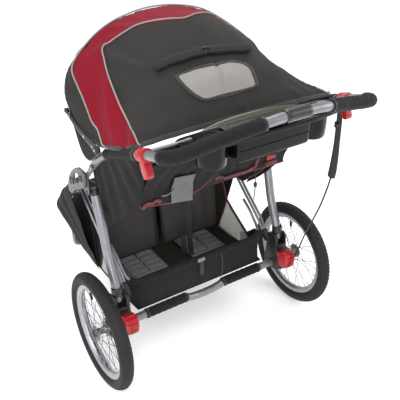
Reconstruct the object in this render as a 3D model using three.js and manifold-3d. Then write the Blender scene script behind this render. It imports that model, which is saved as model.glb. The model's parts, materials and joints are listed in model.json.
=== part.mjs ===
// Side-by-side two-seat jogging stroller: tubular folding frame, three spoked
// wheels, two reclining seats, one wide canopy, parent tray and under-seat basket.
// Millimetres. Front is -Y, +X is the stroller's left, +Z is up, ground is Z = 0.
import * as THREE from 'three';
import { mergeVertices } from 'three/addons/utils/BufferGeometryUtils.js';
import Module from 'manifold-3d';

const wasm = await Module();
wasm.setup();

// ---- driving dimensions -------------------------------------------------
const SHIFT_Y = 190.3;          // rear axle line, measured from the object's middle
const REAR_R = 200;             // rear wheel rolling radius (16 in tyre)
const FRONT_R = 152;            // front wheel rolling radius (12 in tyre)
const TRACK = 400;              // half the rear track
const FRONT_Y = -640;           // front axle
const STEER_Y = -685;           // swivel axis, ahead of the front axle
const HINGE = [-130, 690];      // main fold hinge (y, z)
const LINK_TOP = [-320, 552];   // fold link's pin on the front tube
const LEG_FOOT = [-7, 300];     // rear leg's pin in the axle bracket
const TUBE_R = 13;              // main frame tube
const LEG_R = 15;               // rear leg tube
const SEAT_HINGE = [-150, 515]; // recline hinge
const CANOPY_PIVOT = [0, 840];  // canopy front bow pivot
const FACETS = 32;              // facets round a wheel

const stroller = new THREE.Group();
const frame = new THREE.Group();
frame.position.set(0, SHIFT_Y, 0);
stroller.add(frame);

// ---- materials ------------------------------------------------------------
const mats = {
  tube: [0x8f9296, 0.38, 0.75],
  steel: [0xb9bcc0, 0.25, 1.0],
  black: [0x1d1d1f, 0.55, 0.0],
  grey: [0x55524f, 0.5, 0.0],
  smoke: [0x3a3a36, 0.25, 0.0],
  red: [0xc01824, 0.4, 0.0],
  foam: [0x232326, 0.9, 0.0],
  tyre: [0x1c1c1d, 0.85, 0.0],
  rim: [0xc3c5c8, 0.22, 1.0],
  fabric: [0x2b2b2a, 0.95, 0.0],
  canopy: [0x353534, 0.95, 0.0],
  plate: [0x4c4f52, 0.6, 0.0],
};
const material = (k) =>
  new THREE.MeshStandardMaterial({ color: mats[k][0], roughness: mats[k][1], metalness: mats[k][2] });

// ---- solids ---------------------------------------------------------------
function solid(geometry) {
  const g = geometry.clone();
  g.deleteAttribute('normal');
  g.deleteAttribute('uv');
  const m = mergeVertices(g, 1e-3);
  const p = m.attributes.position.array;
  const raw = m.index.array;
  const idx = [];
  let vol = 0;
  for (let i = 0; i < raw.length; i += 3) {
    const [a, b, c] = [raw[i], raw[i + 1], raw[i + 2]];
    if (a === b || b === c || a === c) continue;
    idx.push(a, b, c);
    const [ax, ay, az, bx, by, bz, cx, cy, cz] = [a, b, c].flatMap((k) => [p[3 * k], p[3 * k + 1], p[3 * k + 2]]);
    vol += ax * (by * cz - bz * cy) - ay * (bx * cz - bz * cx) + az * (bx * cy - by * cx);
  }
  if (vol < 0) for (let i = 0; i < idx.length; i += 3) [idx[i], idx[i + 1]] = [idx[i + 1], idx[i]];
  return new wasm.Manifold(
    new wasm.Mesh({ numProp: 3, vertProperties: new Float32Array(p), triVerts: new Uint32Array(idx) }));
}
function surface(manifold) {
  const m = manifold.getMesh();
  const g = new THREE.BufferGeometry();
  g.setAttribute('position', new THREE.BufferAttribute(new Float32Array(m.vertProperties), 3));
  g.setIndex(new THREE.BufferAttribute(new Uint32Array(m.triVerts), 1));
  g.computeVertexNormals();
  return g;
}
const join = (...s) => s.reduce((a, b) => a.add(b));
const cut = (a, ...s) => s.reduce((x, b) => x.subtract(b), a);
function part(name, body, mat) {
  const mesh = new THREE.Mesh(surface(body), material(mat));
  mesh.name = name;
  frame.add(mesh);
}
const both = (f) => { f('left', 1); f('right', -1); };

function box(x0, x1, y0, y1, z0, z1) {
  const g = new THREE.BoxGeometry(Math.abs(x1 - x0), y1 - y0, z1 - z0);
  g.translate((x0 + x1) / 2, (y0 + y1) / 2, (z0 + z1) / 2);
  return solid(g);
}
// straight round bar between two points
function bar(a, b, r, n = 12, r2 = r) {
  const A = new THREE.Vector3(...a), B = new THREE.Vector3(...b);
  const g = new THREE.CylinderGeometry(r2, r, A.distanceTo(B), n);
  const q = new THREE.Quaternion().setFromUnitVectors(
    new THREE.Vector3(0, 1, 0), B.clone().sub(A).normalize());
  g.applyQuaternion(q);
  const mid = A.add(B).multiplyScalar(0.5);
  g.translate(mid.x, mid.y, mid.z);
  return solid(g);
}
// round tube along a smooth curve
function tube(points, r, steps, n = 10, flat = 1) {
  const s = new THREE.Shape();
  for (let i = 0; i < n; i++) {
    const t = (2 * Math.PI * (i + 0.5)) / n;
    const x = r * Math.cos(t), y = r * flat * Math.sin(t);
    if (i) s.lineTo(x, y); else s.moveTo(x, y);
  }
  s.closePath();
  const curve = new THREE.CatmullRomCurve3(points.map((p) => new THREE.Vector3(...p)), false, 'centripetal');
  return solid(new THREE.ExtrudeGeometry(s, { steps, extrudePath: curve, bevelEnabled: false }));
}
// flat plate: outline in (y, z), thickness along x
function plate(outline, x0, x1, holes = []) {
  const s = new THREE.Shape(outline.map((p) => new THREE.Vector2(...p)));
  for (const h of holes) s.holes.push(new THREE.Path(h.map((p) => new THREE.Vector2(...p))));
  const g = new THREE.ExtrudeGeometry(s, { depth: Math.abs(x1 - x0), bevelEnabled: false });
  g.applyMatrix4(new THREE.Matrix4().set(0, 0, 1, Math.min(x0, x1), 1, 0, 0, 0, 0, 1, 0, 0, 0, 0, 0, 1));
  return solid(g);
}
const disc = (y, z, r, n = 16) =>
  Array.from({ length: n }, (_, i) => {
    const t = (2 * Math.PI * i) / n;
    return [y + r * Math.cos(t), z + r * Math.sin(t)];
  });
// body of revolution about a line parallel to x: profile of [x, r], closed ring or on-axis
function spin(profile, y, z, n, closed, phase = 0) {
  const pts = profile.map(([x, r]) => new THREE.Vector2(r, x));
  if (closed) pts.push(pts[0].clone());
  const g = new THREE.LatheGeometry(pts, n, phase);
  g.rotateZ(-Math.PI / 2);
  g.translate(0, y, z);
  return solid(g);
}
// closed shell from rows of points: outer skin, and the same rows moved in by t
function shell(rows, inner) {
  const nr = rows.length, nc = rows[0].length, pos = [], idx = [];
  for (const set of [rows, inner]) for (const row of set) for (const p of row) pos.push(...p);
  const o = (i, j) => i * nc + j, k = (i, j) => nr * nc + i * nc + j;
  const quad = (a, b, c, d) => idx.push(a, b, c, a, c, d);
  for (let i = 0; i < nr - 1; i++) for (let j = 0; j < nc - 1; j++) {
    quad(o(i, j), o(i, j + 1), o(i + 1, j + 1), o(i + 1, j));
    quad(k(i, j), k(i + 1, j), k(i + 1, j + 1), k(i, j + 1));
  }
  for (let j = 0; j < nc - 1; j++) {
    quad(o(0, j + 1), o(0, j), k(0, j), k(0, j + 1));
    quad(o(nr - 1, j), o(nr - 1, j + 1), k(nr - 1, j + 1), k(nr - 1, j));
  }
  for (let i = 0; i < nr - 1; i++) {
    quad(o(i, 0), o(i + 1, 0), k(i + 1, 0), k(i, 0));
    quad(o(i + 1, nc - 1), o(i, nc - 1), k(i, nc - 1), k(i + 1, nc - 1));
  }
  const g = new THREE.BufferGeometry();
  g.setAttribute('position', new THREE.Float32BufferAttribute(pos, 3));
  g.setIndex(idx);
  return solid(g);
}
const polar = (c, r, deg) => [c[0] + r * Math.cos((deg * Math.PI) / 180), c[1] + r * Math.sin((deg * Math.PI) / 180)];

// ---- front frame ------------------------------------------------------------
// one bent tube: down from both side brackets, in under the footwell to the head tube
const frontHalf = [
  [330, -216, 629], [330, -284, 579], [329, -365, 519], [322, -430, 452], [306, -490, 396],
  [262, -552, 358], [190, -606, 346], [100, -642, 350], [0, -654, 354]];
const mirrored = frontHalf.slice(0, -1).reverse().map(([x, y, z]) => [-x, y, z]);
const frontTube = tube([...frontHalf, ...mirrored], TUBE_R, 32, 8);
const headTube = cut(
  (() => { const g = new THREE.CylinderGeometry(21, 21, 74, 16); g.rotateX(Math.PI / 2); g.translate(0, STEER_Y, 359); return solid(g); })(),
  (() => { const g = new THREE.CylinderGeometry(11, 11, 90, 16); g.rotateX(Math.PI / 2); g.translate(0, STEER_Y, 359); return solid(g); })());
const linkStuds = [1, -1].map((s) => bar([s * 288, ...LINK_TOP], [s * 325, ...LINK_TOP], 5, 10));
part('front_frame', join(frontTube, headTube, ...linkStuds), 'tube');

// cross tube under the seats, and the low tube that carries the footwell's floor
part('seat_rail', tube([
  [311, -393, 490], [296, -389, 492], [270, -374, 498], [190, -338, 504], [0, -326, 505],
  [-190, -338, 504], [-270, -374, 498], [-296, -389, 492], [-311, -393, 490]], 8.5, 22, 8), 'tube');
const lowHalf = [[291, -478, 385], [285, -474, 340], [280, -474, 280], [278, -476, 240], [272, -478, 219], [254, -479, 213], [130, -480, 213], [0, -480, 213]];
const lowTube = [...lowHalf, ...lowHalf.slice(0, -1).reverse().map(([x, y, z]) => [-x, y, z])];
part('footrest_frame', tube(lowTube, 8, 30, 6), 'tube');

both((side, s) => {
  // ribbed footplate: board with two columns of four slats
  let board = box(s * 52, s * 200, -290, -158, 214, 219.5);
  for (let c = 0; c < 2; c++) for (let r = 0; r < 4; r++) {
    const x = 61 + c * 68, y = -284 + r * 31;
    board = board.add(box(s * x, s * (x + 62), y, y + 22, 219, 226));
  }
  part(`footplate_${side}`, board, 'plate');

  // side bracket: looped plate outside the tube, with a socket round the front tube's end
  const outline = [
    [-103, 700], [-110, 716], [-128, 723], [-150, 720], [-176, 706], [-205, 684], [-230, 655], [-244, 626],
    [-248, 604], [-238, 592], [-224, 596], [-208, 606], [-188, 624], [-160, 638], [-128, 657], [-110, 668]];
  const bracket = plate(outline, s * 355, s * 363, [
    disc(...HINGE, 6.4, 16),
    [[-152, 694], [-150, 668], [-176, 654], [-196, 660], [-193, 676], [-174, 692]].reverse(),
    [[-206, 662], [-204, 642], [-216, 630], [-228, 636], [-224, 650], [-214, 660]].reverse()]);
  const socket = cut(
    bar([s * 330, -224, 623.2], [s * 330, -264, 593.8], 19, 16),
    bar([s * 330, -200, 640.9], [s * 330, -276, 584.8], TUBE_R + 0.6, 16));
  const web = cut(box(s * 340, s * 356, -243, -226, 602, 622),
    bar([s * 330, -200, 640.9], [s * 330, -276, 584.8], TUBE_R + 0.6, 16));
  part(`side_bracket_${side}`, join(bracket, socket, web), 'grey');
  // main hinge pin with its head outside the bracket
  part(`hinge_pin_${side}`, join(
    bar([s * 344, ...HINGE], [s * 364, ...HINGE], 6, 12),
    bar([s * 363.4, ...HINGE], [s * 367, ...HINGE], 11, 12)), 'steel');
});

// ---- steered front wheel ------------------------------------------------------
{
  const steerer = bar([0, STEER_Y, 316], [0, STEER_Y, 402], 10.4, 16);
  const cap = bar([0, STEER_Y, 396.6], [0, STEER_Y, 406], 16, 16);
  const crown = cut(box(-48, 48, STEER_Y - 17, STEER_Y + 17, 310, 321.5));
  const blades = [1, -1].map((s) => plate([
    [STEER_Y - 15, 318], [STEER_Y - 12, 250], [FRONT_Y - 14, 160], [FRONT_Y - 10, 140], [FRONT_Y + 2, 136],
    [FRONT_Y + 12, 144], [FRONT_Y + 12, 164], [STEER_Y + 16, 256], [STEER_Y + 15, 318]],
  s * 38, s * 46, [disc(FRONT_Y, FRONT_R, 5.4, 12)]));
  part('front_fork', join(steerer, cap, crown, ...blades), 'black');
  part('swivel_lock_lever', join(
    bar([-9, STEER_Y - 24, 318], [9, STEER_Y - 24, 318], 5, 10),
    plate([[STEER_Y - 28, 317], [STEER_Y - 24, 313], [STEER_Y - 46, 286], [STEER_Y - 52, 290]], -8, 8)), 'red');
  part('front_axle', join(bar([-58, FRONT_Y, FRONT_R], [50.5, FRONT_Y, FRONT_R], 5, 12),
    bar([-58, FRONT_Y, FRONT_R], [-46.4, FRONT_Y, FRONT_R], 9, 12)), 'steel');
  part('front_quick_release', join(
    bar([57, FRONT_Y - 7, FRONT_R], [57, FRONT_Y + 7, FRONT_R], 5.6, 10),
    plate([[FRONT_Y - 6, FRONT_R], [FRONT_Y + 6, FRONT_R], [FRONT_Y + 9, FRONT_R + 50], [FRONT_Y + 3, FRONT_R + 56], [FRONT_Y - 6, FRONT_R + 52]],
      55, 59)), 'steel');
}

// ---- wheels -----------------------------------------------------------------------
function wheel(prefix, x, y, R, tyreSection, hubHalf, outward) {
  const h = Math.PI / FACETS, k = 1 / Math.cos(h), t = tyreSection;
  const P = (a) => a.map(([dx, r]) => [x + dx, r * k]);
  part(`${prefix}_tyre`, spin(P([
    [-6, R], [6, R], [t * 0.78, R - t * 0.38], [t, R - t * 1.0], [t * 0.72, R - t * 1.72], [9.5, R - t * 1.95],
    [-9.5, R - t * 1.95], [-t * 0.72, R - t * 1.72], [-t, R - t * 1.0], [-t * 0.78, R - t * 0.38]]), y, R, FACETS, true, h), 'tyre');
  const Ri = R - t * 1.95 - 0.5;
  part(`${prefix}_rim`, spin(P([
    [-11.5, Ri], [11.5, Ri], [10, Ri - 9], [0, Ri - 15.5], [-10, Ri - 9]]), y, R, FACETS, true, h), 'rim');
  // hub with bore, two flanges and crossed spokes
  const f = hubHalf, Rs = Ri - 16.2;
  let hub = spin([
    [x - f, 7], [x + f, 7], [x + f, 13], [x + f - 5, 13], [x + f - 6, 26], [x + f - 9, 26], [x + f - 10, 11],
    [x - f + 10, 11], [x - f + 9, 26], [x - f + 6, 26], [x - f + 5, 13], [x - f, 13]], y, R, 16, true);
  const n = 10;
  for (let i = 0; i < n; i++) {
    const a = (2 * Math.PI * i) / n, d = i % 4 < 2 ? 1 : -1, b = a + d * 0.62;
    const sx = i % 2 ? 1 : -1;
    hub = hub.add(bar(
      [x + sx * (f - 7.5), y + 21 * Math.sin(b), R + 21 * Math.cos(b)],
      [x + sx * 1.5, y + Rs * Math.sin(a), R + Rs * Math.cos(a)], 1.4, 4));
  }
  return hub;
}
part('front_hub', wheel('front', 0, FRONT_Y, FRONT_R, 20, 31, 1), 'rim');
both((side, s) => {
  const x = s * TRACK;
  let hub = wheel(`rear_${side}`, x, 0, REAR_R, 22, 26, s);
  // toothed brake ring on the inner end: a pin drops between its teeth
  let ring = spin([[s * 365, 24], [s * 371, 24], [s * 371, 36], [s * 365, 36]], 0, REAR_R, 16, true);
  for (let i = 0; i < 8; i++) {
    const a = (2 * Math.PI * i) / 8;
    ring = ring.subtract(bar([s * 363, 36 * Math.cos(a), REAR_R + 36 * Math.sin(a)], [s * 373, 36 * Math.cos(a), REAR_R + 36 * Math.sin(a)], 6.5, 6));
  }
  const web = spin([[s * 369, 9], [s * 376, 9], [s * 376, 25], [s * 369, 25]], 0, REAR_R, 16, true);
  part(`rear_${side}_hub`, join(hub, web, ring), 'rim');
});

// ---- rear frame ----------------------------------------------------------------------
part('rear_axle_tube', tube([
  [298, 4, 197], [200, 4, 198], [105, 4, 198], [84, 3, 197], [58, 1, 188], [30, -1, 182], [0, -1, 181],
  [-30, -1, 182], [-58, 1, 188], [-84, 3, 197], [-105, 4, 198], [-200, 4, 198], [-298, 4, 197]], 14, 28, 8), 'tube');
both((side, s) => {
  // moulded bracket at each end of the axle: socket for the cross tube, axle bore, slot for the leg's foot
  const body = plate([
    [-34, 172], [34, 172], [42, 190], [38, 236], [20, 262], [16, 312], [-28, 316], [-31, 286], [-36, 240], [-40, 200]], s * 299, s * 350);
  const slot = box(s * 312, s * 344, -60, 60, 276, 340);
  const housing = cut(body, slot,
    bar([s * 290, 0, REAR_R], [s * 360, 0, REAR_R], 6.6, 14),
    bar([s * 338, 36, REAR_R], [s * 356, 36, REAR_R], 3.4, 10),
    box(s * 306, s * 336, 8, 60, 196, 242));
  // the leg's pivot pin is pressed into the bracket's two cheeks
  part(`axle_bracket_${side}`, join(housing, bar([s * 300, ...LEG_FOOT], [s * 353, ...LEG_FOOT], 5, 12)), 'black');
  part(`rear_axle_pin_${side}`, join(
    bar([s * 318, 0, REAR_R], [s * 431, 0, REAR_R], 6, 12),
    bar([s * 426.6, 0, REAR_R], [s * 431, 0, REAR_R], 11, 12)), 'steel');
  // rear leg: curved tube, flattened lug at the foot
  const leg = cut(tube([
    [s * 328, -7, 300], [s * 328, -14, 330], [s * 328, -32, 375], [s * 328, -58, 438], [s * 328, -80, 520], [s * 328, -100, 590],
    [s * 328, -116, 640]], LEG_R, 10, 10), bar([s * 300, ...LEG_FOOT], [s * 356, ...LEG_FOOT], 5.3, 12));
  part(`rear_leg_${side}`, join(leg, cut(bar([s * 314, ...LEG_FOOT], [s * 342, ...LEG_FOOT], 15.5, 14),
    bar([s * 300, ...LEG_FOOT], [s * 356, ...LEG_FOOT], 5.3, 12))), 'tube');
  // twin-rod fold link from the axle bracket up to the front tube
  const rods = [285.5, 298.8].map((x) => tube([
    [s * (x === 298.8 ? 293.2 : 285.5), -34, 312], [s * x, -66, 346], [s * x, -112, 386], [s * x, -157, 421], [s * x, -240, 490],
    [s * x, LINK_TOP[0] + 4, LINK_TOP[1] - 3]], 5, 6, 6));
  const eyes = [
    cut(bar([s * 280, ...LINK_TOP], [s * 304, ...LINK_TOP], 10, 14), bar([s * 270, ...LINK_TOP], [s * 310, ...LINK_TOP], 5.4, 14)),
    plate([[-46, 300], [-16, 284], [-6, 292], [-22, 316], [-36, 328], [-48, 318]], s * 281, s * 298.6)];
  const linkHole = bar([s * 270, ...LINK_TOP], [s * 310, ...LINK_TOP], 5.4, 14);
  part(`fold_link_${side}`, cut(join(...rods, ...eyes), linkHole), 'tube');
  // foot brake
  part(`brake_pedal_${side}`, join(
    bar([s * 309, 20, 221], [s * 333, 20, 221], 6.5, 12),
    plate([[18, 216], [30, 214], [66, 205], [72, 212], [70, 222], [62, 230], [34, 230], [20, 227.4]], s * 309, s * 333),
    plate([[48, 209], [66, 205], [72, 212], [70, 222], [62, 232], [50, 232]], s * 303, s * 341)), 'red');
  part(`brake_pin_${side}`, bar([s * 345, 36, REAR_R], [s * 363, 36, REAR_R], 3, 8), 'steel');
});
// wire hoop that holds the basket's mouth open
part('basket_hoop', tube([
  [274, -150, 402], [274, -112, 377], [274, -86, 352], [271, -60, 331], [262, -40, 320], [240, -24, 317], [120, -20, 316.5],
  [0, -20, 316.5], [-120, -20, 316.5], [-240, -24, 317], [-262, -40, 320], [-271, -60, 331], [-274, -86, 352],
  [-274, -112, 377], [-274, -150, 402]], 5, 30, 6), 'tube');
// fabric basket: open tray with the hoop along its rim
{
  const outer = plate([[-140, 214], [-8, 216], [-6, 226], [-12, 308], [-30, 308], [-60, 322], [-110, 366], [-140, 380]], -266, 266);
  const inner = plate([[-150, 219], [-14, 221], [-18, 330], [-60, 420], [-150, 420]], -260, 260);
  part('basket', cut(outer, inner), 'fabric');
}

// ---- handle frame -----------------------------------------------------------------------
const handleHalf = [
  [335, -92, 741], [335, -38, 791], [335, 20, 829], [335, 96, 864], [335, 155, 888], [335, 215, 910], [336, 270, 930],
  [334, 314, 944], [318, 344, 954], [285, 355, 961], [240, 362, 970], [195, 369, 979], [154, 380, 989], [104, 391, 1000],
  [52, 394, 1005], [0, 394, 1006]];
const handlePts = [...handleHalf, ...handleHalf.slice(0, -1).reverse().map(([x, y, z]) => [-x, y, z])];
part('handle_tube', tube(handlePts, TUBE_R, 56, 8), 'tube');
const handleCurve = new THREE.CatmullRomCurve3(handlePts.map((p) => new THREE.Vector3(...p)), false, 'centripetal');
// sleeve round part of the handle tube between two of its stations (fractions of its length)
function sleeve(t0, t1, r, steps, n = 10) {
  const pts = [];
  for (let i = 0; i <= steps; i++) pts.push(handleCurve.getPointAt(t0 + ((t1 - t0) * i) / steps).toArray());
  const long = [];
  for (let i = -2; i <= steps + 2; i++) long.push(handleCurve.getPointAt(t0 + ((t1 - t0) * i) / steps).toArray());
  return cut(tube(pts, r, steps, n), tube(long, TUBE_R + 2.4, steps + 4, 12));
}
part('grip_left', sleeve(0.276, 0.443, 19, 15), 'foam');
part('grip_right', sleeve(0.573, 0.724, 19, 15), 'foam');
part('grip_centre_sleeve', sleeve(0.479, 0.526, 17.5, 3), 'black');
both((side, s) => {
  // hinge plate bolted to the outside of the handle tube; its tail carries the rear leg's upper pin
  part(`hinge_plate_${side}`, plate([
    [-64, 756], [-56, 748], [-102, 700], [-106, 690], [-104, 648], [-112, 636], [-126, 636], [-134, 646], [-142, 668],
    [-155, 684], [-152, 702], [-138, 714], [-120, 712], [-104, 722], [-74, 760]], s * 348.6, s * 352.6,
  [disc(...HINGE, 6.4, 16)]), 'steel');
  // fold latch: clip on top of the tube with a finger lever below
  const at = [231, 915.6];
  const clip = cut(
    bar([s * 335.4, 214, 909.6], [s * 335.6, 250, 922.7], 19, 14),
    bar([s * 335.3, 200, 904.5], [s * 335.7, 264, 927.8], TUBE_R + 0.8, 16));
  const lever = plate([[222, 902], [244, 909], [262, 872], [258, 860], [244, 858], [232, 874]], s * 324, s * 347);
  part(`fold_latch_${side}`, cut(join(clip, lever), bar([s * 335.3, 190, 900.9], [s * 335.7, 274, 931.5], TUBE_R + 0.8, 16)), 'red');
});

// ---- parent tray -------------------------------------------------------------------------
const TRAY_Y = 277;
function lean(m) {   // top surface rises to the rear, walls stay upright
  return m.warp((v) => { const w = Math.max(0, (v[2] - 868) / 70); v[2] += 0.10 * (v[1] - TRAY_Y) * Math.min(w, 1.1); });
}
{
  const up = (x, y, z0, z1, r, n) => bar([x, y, z0], [x, y, z1], r, n);
  const outline = new THREE.Shape([
    [-252, 236], [-232, 224], [-120, 216], [120, 216], [232, 224], [252, 236], [256, 292], [238, 320], [130, 334], [-130, 334],
    [-238, 320], [-256, 292]].map((p) => new THREE.Vector2(...p)));
  const deckG = new THREE.ExtrudeGeometry(outline, { depth: 12, bevelEnabled: false });
  deckG.translate(0, 0, 926);
  let tray = solid(deckG);
  tray = tray.add(box(-122, 122, 222, 330, 872, 930));
  for (const s of [1, -1]) {
    tray = tray.add(up(s * 168, TRAY_Y, 862, 930, 42, 20));
    tray = tray.add(box(s * 250, s * 315.5, 264, 282, 918, 930));
  }
  tray = tray.subtract(box(-117, 117, 227, 325, 877, 960));
  for (const s of [1, -1]) tray = tray.subtract(up(s * 168, TRAY_Y, 867, 960, 37.5, 20));
  part('parent_tray', lean(tray), 'smoke');
  part('tray_lid', lean(join(box(-118, 118, 226, 326, 939.6, 944), bar([-60, 226, 942], [60, 226, 942], 1.7, 8))), 'smoke');
}

// ---- seats --------------------------------------------------------------------------------
both((side, s) => {
  const pad = plate([
    [-156, 496], [-344, 530], [-352, 540], [-350, 556], [-336, 562], [-240, 548], [-176, 530], [-160, 520]], s * 10, s * 267);
  part(`seat_bottom_${side}`, pad, 'fabric');
  const dir = [Math.sin(42 * Math.PI / 180), Math.cos(42 * Math.PI / 180)], nrm = [-dir[1], dir[0]];
  const at = (u, v) => [SEAT_HINGE[0] + u * dir[0] + v * nrm[0], SEAT_HINGE[1] + u * dir[1] + v * nrm[1]];
  part(`seat_back_${side}`, plate([
    at(14, -16), at(14, 12), at(60, 16), at(200, 18), at(380, 16), at(424, 8), at(430, -4), at(418, -14), at(200, -20), at(60, -20)],
  s * 10, s * 267), 'fabric');
  part(`seat_side_${side}`, plate([
    [-385, 516], [-160, 474], [-60, 560], [50, 690], [120, 800], [112, 836], [20, 800], [-60, 745], [-100, 690], [-140, 640],
    [-240, 596], [-376, 572]], s * 271, s * 275), 'fabric');
});
// footwell: floor, toe wall, side panels, and a calf panel under the front of each seat
{
  const outer = plate([[-150, 208.4], [-300, 208.4], [-490, 229], [-502, 238], [-541, 322], [-538, 334], [-500, 402],
    [-400, 488], [-168, 455], [-150, 300]], -264, 264);
  const feet = plate([[-303.5, 213.8], [-488, 234], [-497, 240], [-537, 326], [-570, 500], [-341, 500]], -260, 260);
  const store = plate([[-130, 213.4], [-299.5, 213.4], [-337, 500], [-130, 500]], -260, 260);
  part('footwell', cut(outer, feet, store, box(-14, 14, -346, -294, 224, 500)), 'fabric');
}

// ---- canopy ---------------------------------------------------------------------------------
// stations from the rear hem to the front rim: middle (y, z), side foot (x, y, z), side shoulder (x, y, z)
const ST = [
  { m: [171, 912], f: [326, 188, 916], h: [322, 186, 917] },
  { m: [152, 940], f: [346, 150, 905], h: [334, 146, 928] },
  { m: [130, 966], f: [348, 120, 892], h: [338, 112, 944] },
  { m: [95, 1013], f: [350, 84, 877], h: [341, 66, 972] },
  { m: [45, 1042], f: [350, 52, 865], h: [342, 16, 994] },
  { m: [-31, 1079], f: [350, 20, 851], h: [343, -60, 1016] },
  { m: [-111, 1117], f: [350, -10, 846], h: [343, -130, 1034] },
  { m: [-190, 1130], f: [350, -50, 850], h: [343, -190, 1040] },
  { m: [-262, 1131], f: [350, -84, 857], h: [342, -236, 1036] }];
const SF = [
  { m: [-236, 1140], f: [357, -84, 852], h: [350, -214, 1048] },
  { m: [-268, 1136], f: [357, -122, 862], h: [349, -252, 1034] },
  { m: [-319, 1112], f: [356, -192, 876], h: [344, -318, 1000] }];
function archRow(st, inset) {
  const [fx, fy, fz] = st.f, [hx, hy, hz] = st.h, [my, mz] = st.m, t = inset;
  const row = [];
  const half = [
    [fx - t, fy, fz], [fx * 0.45 + hx * 0.55 + 1 - t, fy * 0.45 + hy * 0.55, fz * 0.45 + hz * 0.55],
    [hx - t, hy, hz], [hx - 0.1 * hx - t * 0.8, hy + (my - hy) * 0.36, hz + (mz - hz) * 0.62 - t * 0.6],
    [hx * 0.74, hy + (my - hy) * 0.62, hz + (mz - hz) * 0.85 - t], [hx * 0.42, hy + (my - hy) * 0.88, hz + (mz - hz) * 0.965 - t],
    [0, my, mz - t]];
  for (const p of half) row.push(p);
  for (let i = half.length - 2; i >= 0; i--) row.push([-half[i][0], half[i][1], half[i][2]]);
  return row;
}
part('canopy_rear', shell(ST.map((s) => archRow(s, 0)), ST.map((s) => archRow(s, 3.5))), 'canopy');
part('canopy_front', shell(SF.map((s) => archRow(s, 0)), SF.map((s) => archRow(s, 3.5))), 'canopy');
both((side, s) => {
  part(`canopy_bow_${side}`, join(
    plate([[18, 828], [18, 846], [4, 854], [-60, 858], [-120, 868], [-192, 890], [-200, 882], [-122, 852], [-60, 840], [-8, 826]], s * 358.4, s * 362),
    bar([s * 352, ...CANOPY_PIVOT], [s * 365, ...CANOPY_PIVOT], 11, 14)), 'black');
});

// ---- safety tether on the right -------------------------------------------------------------
{
  const strip = new THREE.Shape([[-1.5, -9], [1.5, -9], [1.5, 9], [-1.5, 9]].map((p) => new THREE.Vector2(...p)));
  const run = new THREE.CatmullRomCurve3([[-352, 205, 884], [-353, 205, 800], [-353, 205, 700], [-352, 200, 632], [-354, 170, 520],
    [-355, 130, 410], [-355.5, 80, 300], [-356, 52, 246]].map((p) => new THREE.Vector3(...p)), false, 'centripetal');
  part('safety_tether', solid(new THREE.ExtrudeGeometry(strip, { steps: 16, extrudePath: run, bevelEnabled: false })), 'black');
}

export default stroller;
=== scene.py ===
import json
import math
import random

import bpy
import bmesh
import numpy as np
from mathutils import Matrix, Vector

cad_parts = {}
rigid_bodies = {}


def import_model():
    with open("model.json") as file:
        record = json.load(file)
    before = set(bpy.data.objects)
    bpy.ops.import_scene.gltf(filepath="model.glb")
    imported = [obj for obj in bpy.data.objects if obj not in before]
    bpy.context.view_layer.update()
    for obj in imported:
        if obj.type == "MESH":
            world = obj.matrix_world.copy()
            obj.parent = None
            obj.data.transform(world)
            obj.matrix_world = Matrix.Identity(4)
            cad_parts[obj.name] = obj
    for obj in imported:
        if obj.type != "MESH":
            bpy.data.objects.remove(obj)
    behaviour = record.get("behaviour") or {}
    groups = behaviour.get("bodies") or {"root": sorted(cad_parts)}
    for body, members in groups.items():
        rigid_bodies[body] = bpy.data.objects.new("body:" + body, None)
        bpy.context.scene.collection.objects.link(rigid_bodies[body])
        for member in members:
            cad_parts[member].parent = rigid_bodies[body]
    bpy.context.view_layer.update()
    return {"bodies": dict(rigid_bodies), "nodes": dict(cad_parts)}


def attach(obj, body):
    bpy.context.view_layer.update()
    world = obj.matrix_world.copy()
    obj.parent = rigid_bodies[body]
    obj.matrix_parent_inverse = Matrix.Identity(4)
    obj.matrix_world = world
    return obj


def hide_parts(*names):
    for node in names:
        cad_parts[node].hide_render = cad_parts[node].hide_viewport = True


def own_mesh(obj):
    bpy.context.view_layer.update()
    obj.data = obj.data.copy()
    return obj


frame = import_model()
NODES = frame["nodes"]
rng = random.Random(7)
SHIFT = 190.3
pi = math.pi


def P(x, y, z):
    """Millimetres with the rear axle at y = 0, to metres in the row frame."""
    return np.array([x / 1000.0, (y + SHIFT) / 1000.0, z / 1000.0])


def PP(pts):
    return np.array([P(*p) for p in pts])


# ------------------------------------------------------------------ camera (floor and light are set at the end)
cam_data = bpy.data.cameras.new("camera")
cam_data.lens = 57.15
cam_data.sensor_width = 36.0
cam_data.clip_start = 0.05
cam_data.clip_end = 60
camera = bpy.data.objects.new("camera", cam_data)
bpy.context.scene.collection.objects.link(camera)
bpy.context.scene.camera = camera
_a, _e, _r = math.radians(146.624), math.radians(31.0), math.radians(0.177)
_back = Vector((math.sin(_a) * math.cos(_e), -math.cos(_a) * math.cos(_e), math.sin(_e)))
_right = Vector((math.cos(_a), math.sin(_a), 0))
_up = _back.cross(_right)
_R = _right * math.cos(_r) + _up * math.sin(_r)
_U = _up * math.cos(_r) - _right * math.sin(_r)
camera.matrix_world = Matrix((
    (_R.x, _U.x, _back.x, 0.98190), (_R.y, _U.y, _back.y, 1.65197),
    (_R.z, _U.z, _back.z, 1.62040), (0, 0, 0, 1)))


# ------------------------------------------------------------------ node materials
def mat_new(name):
    m = bpy.data.materials.new(name)
    m.use_nodes = True
    nt = m.node_tree
    nt.nodes.clear()
    out = nt.nodes.new("ShaderNodeOutputMaterial")
    b = nt.nodes.new("ShaderNodeBsdfPrincipled")
    nt.links.new(b.outputs[0], out.inputs[0])
    return m, nt, b


def lin(c):
    """sRGB 0-255 to linear."""
    out = []
    for v in c:
        v = v / 255.0
        out.append(v / 12.92 if v <= 0.04045 else ((v + 0.055) / 1.055) ** 2.4)
    return (*out, 1.0)


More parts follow.
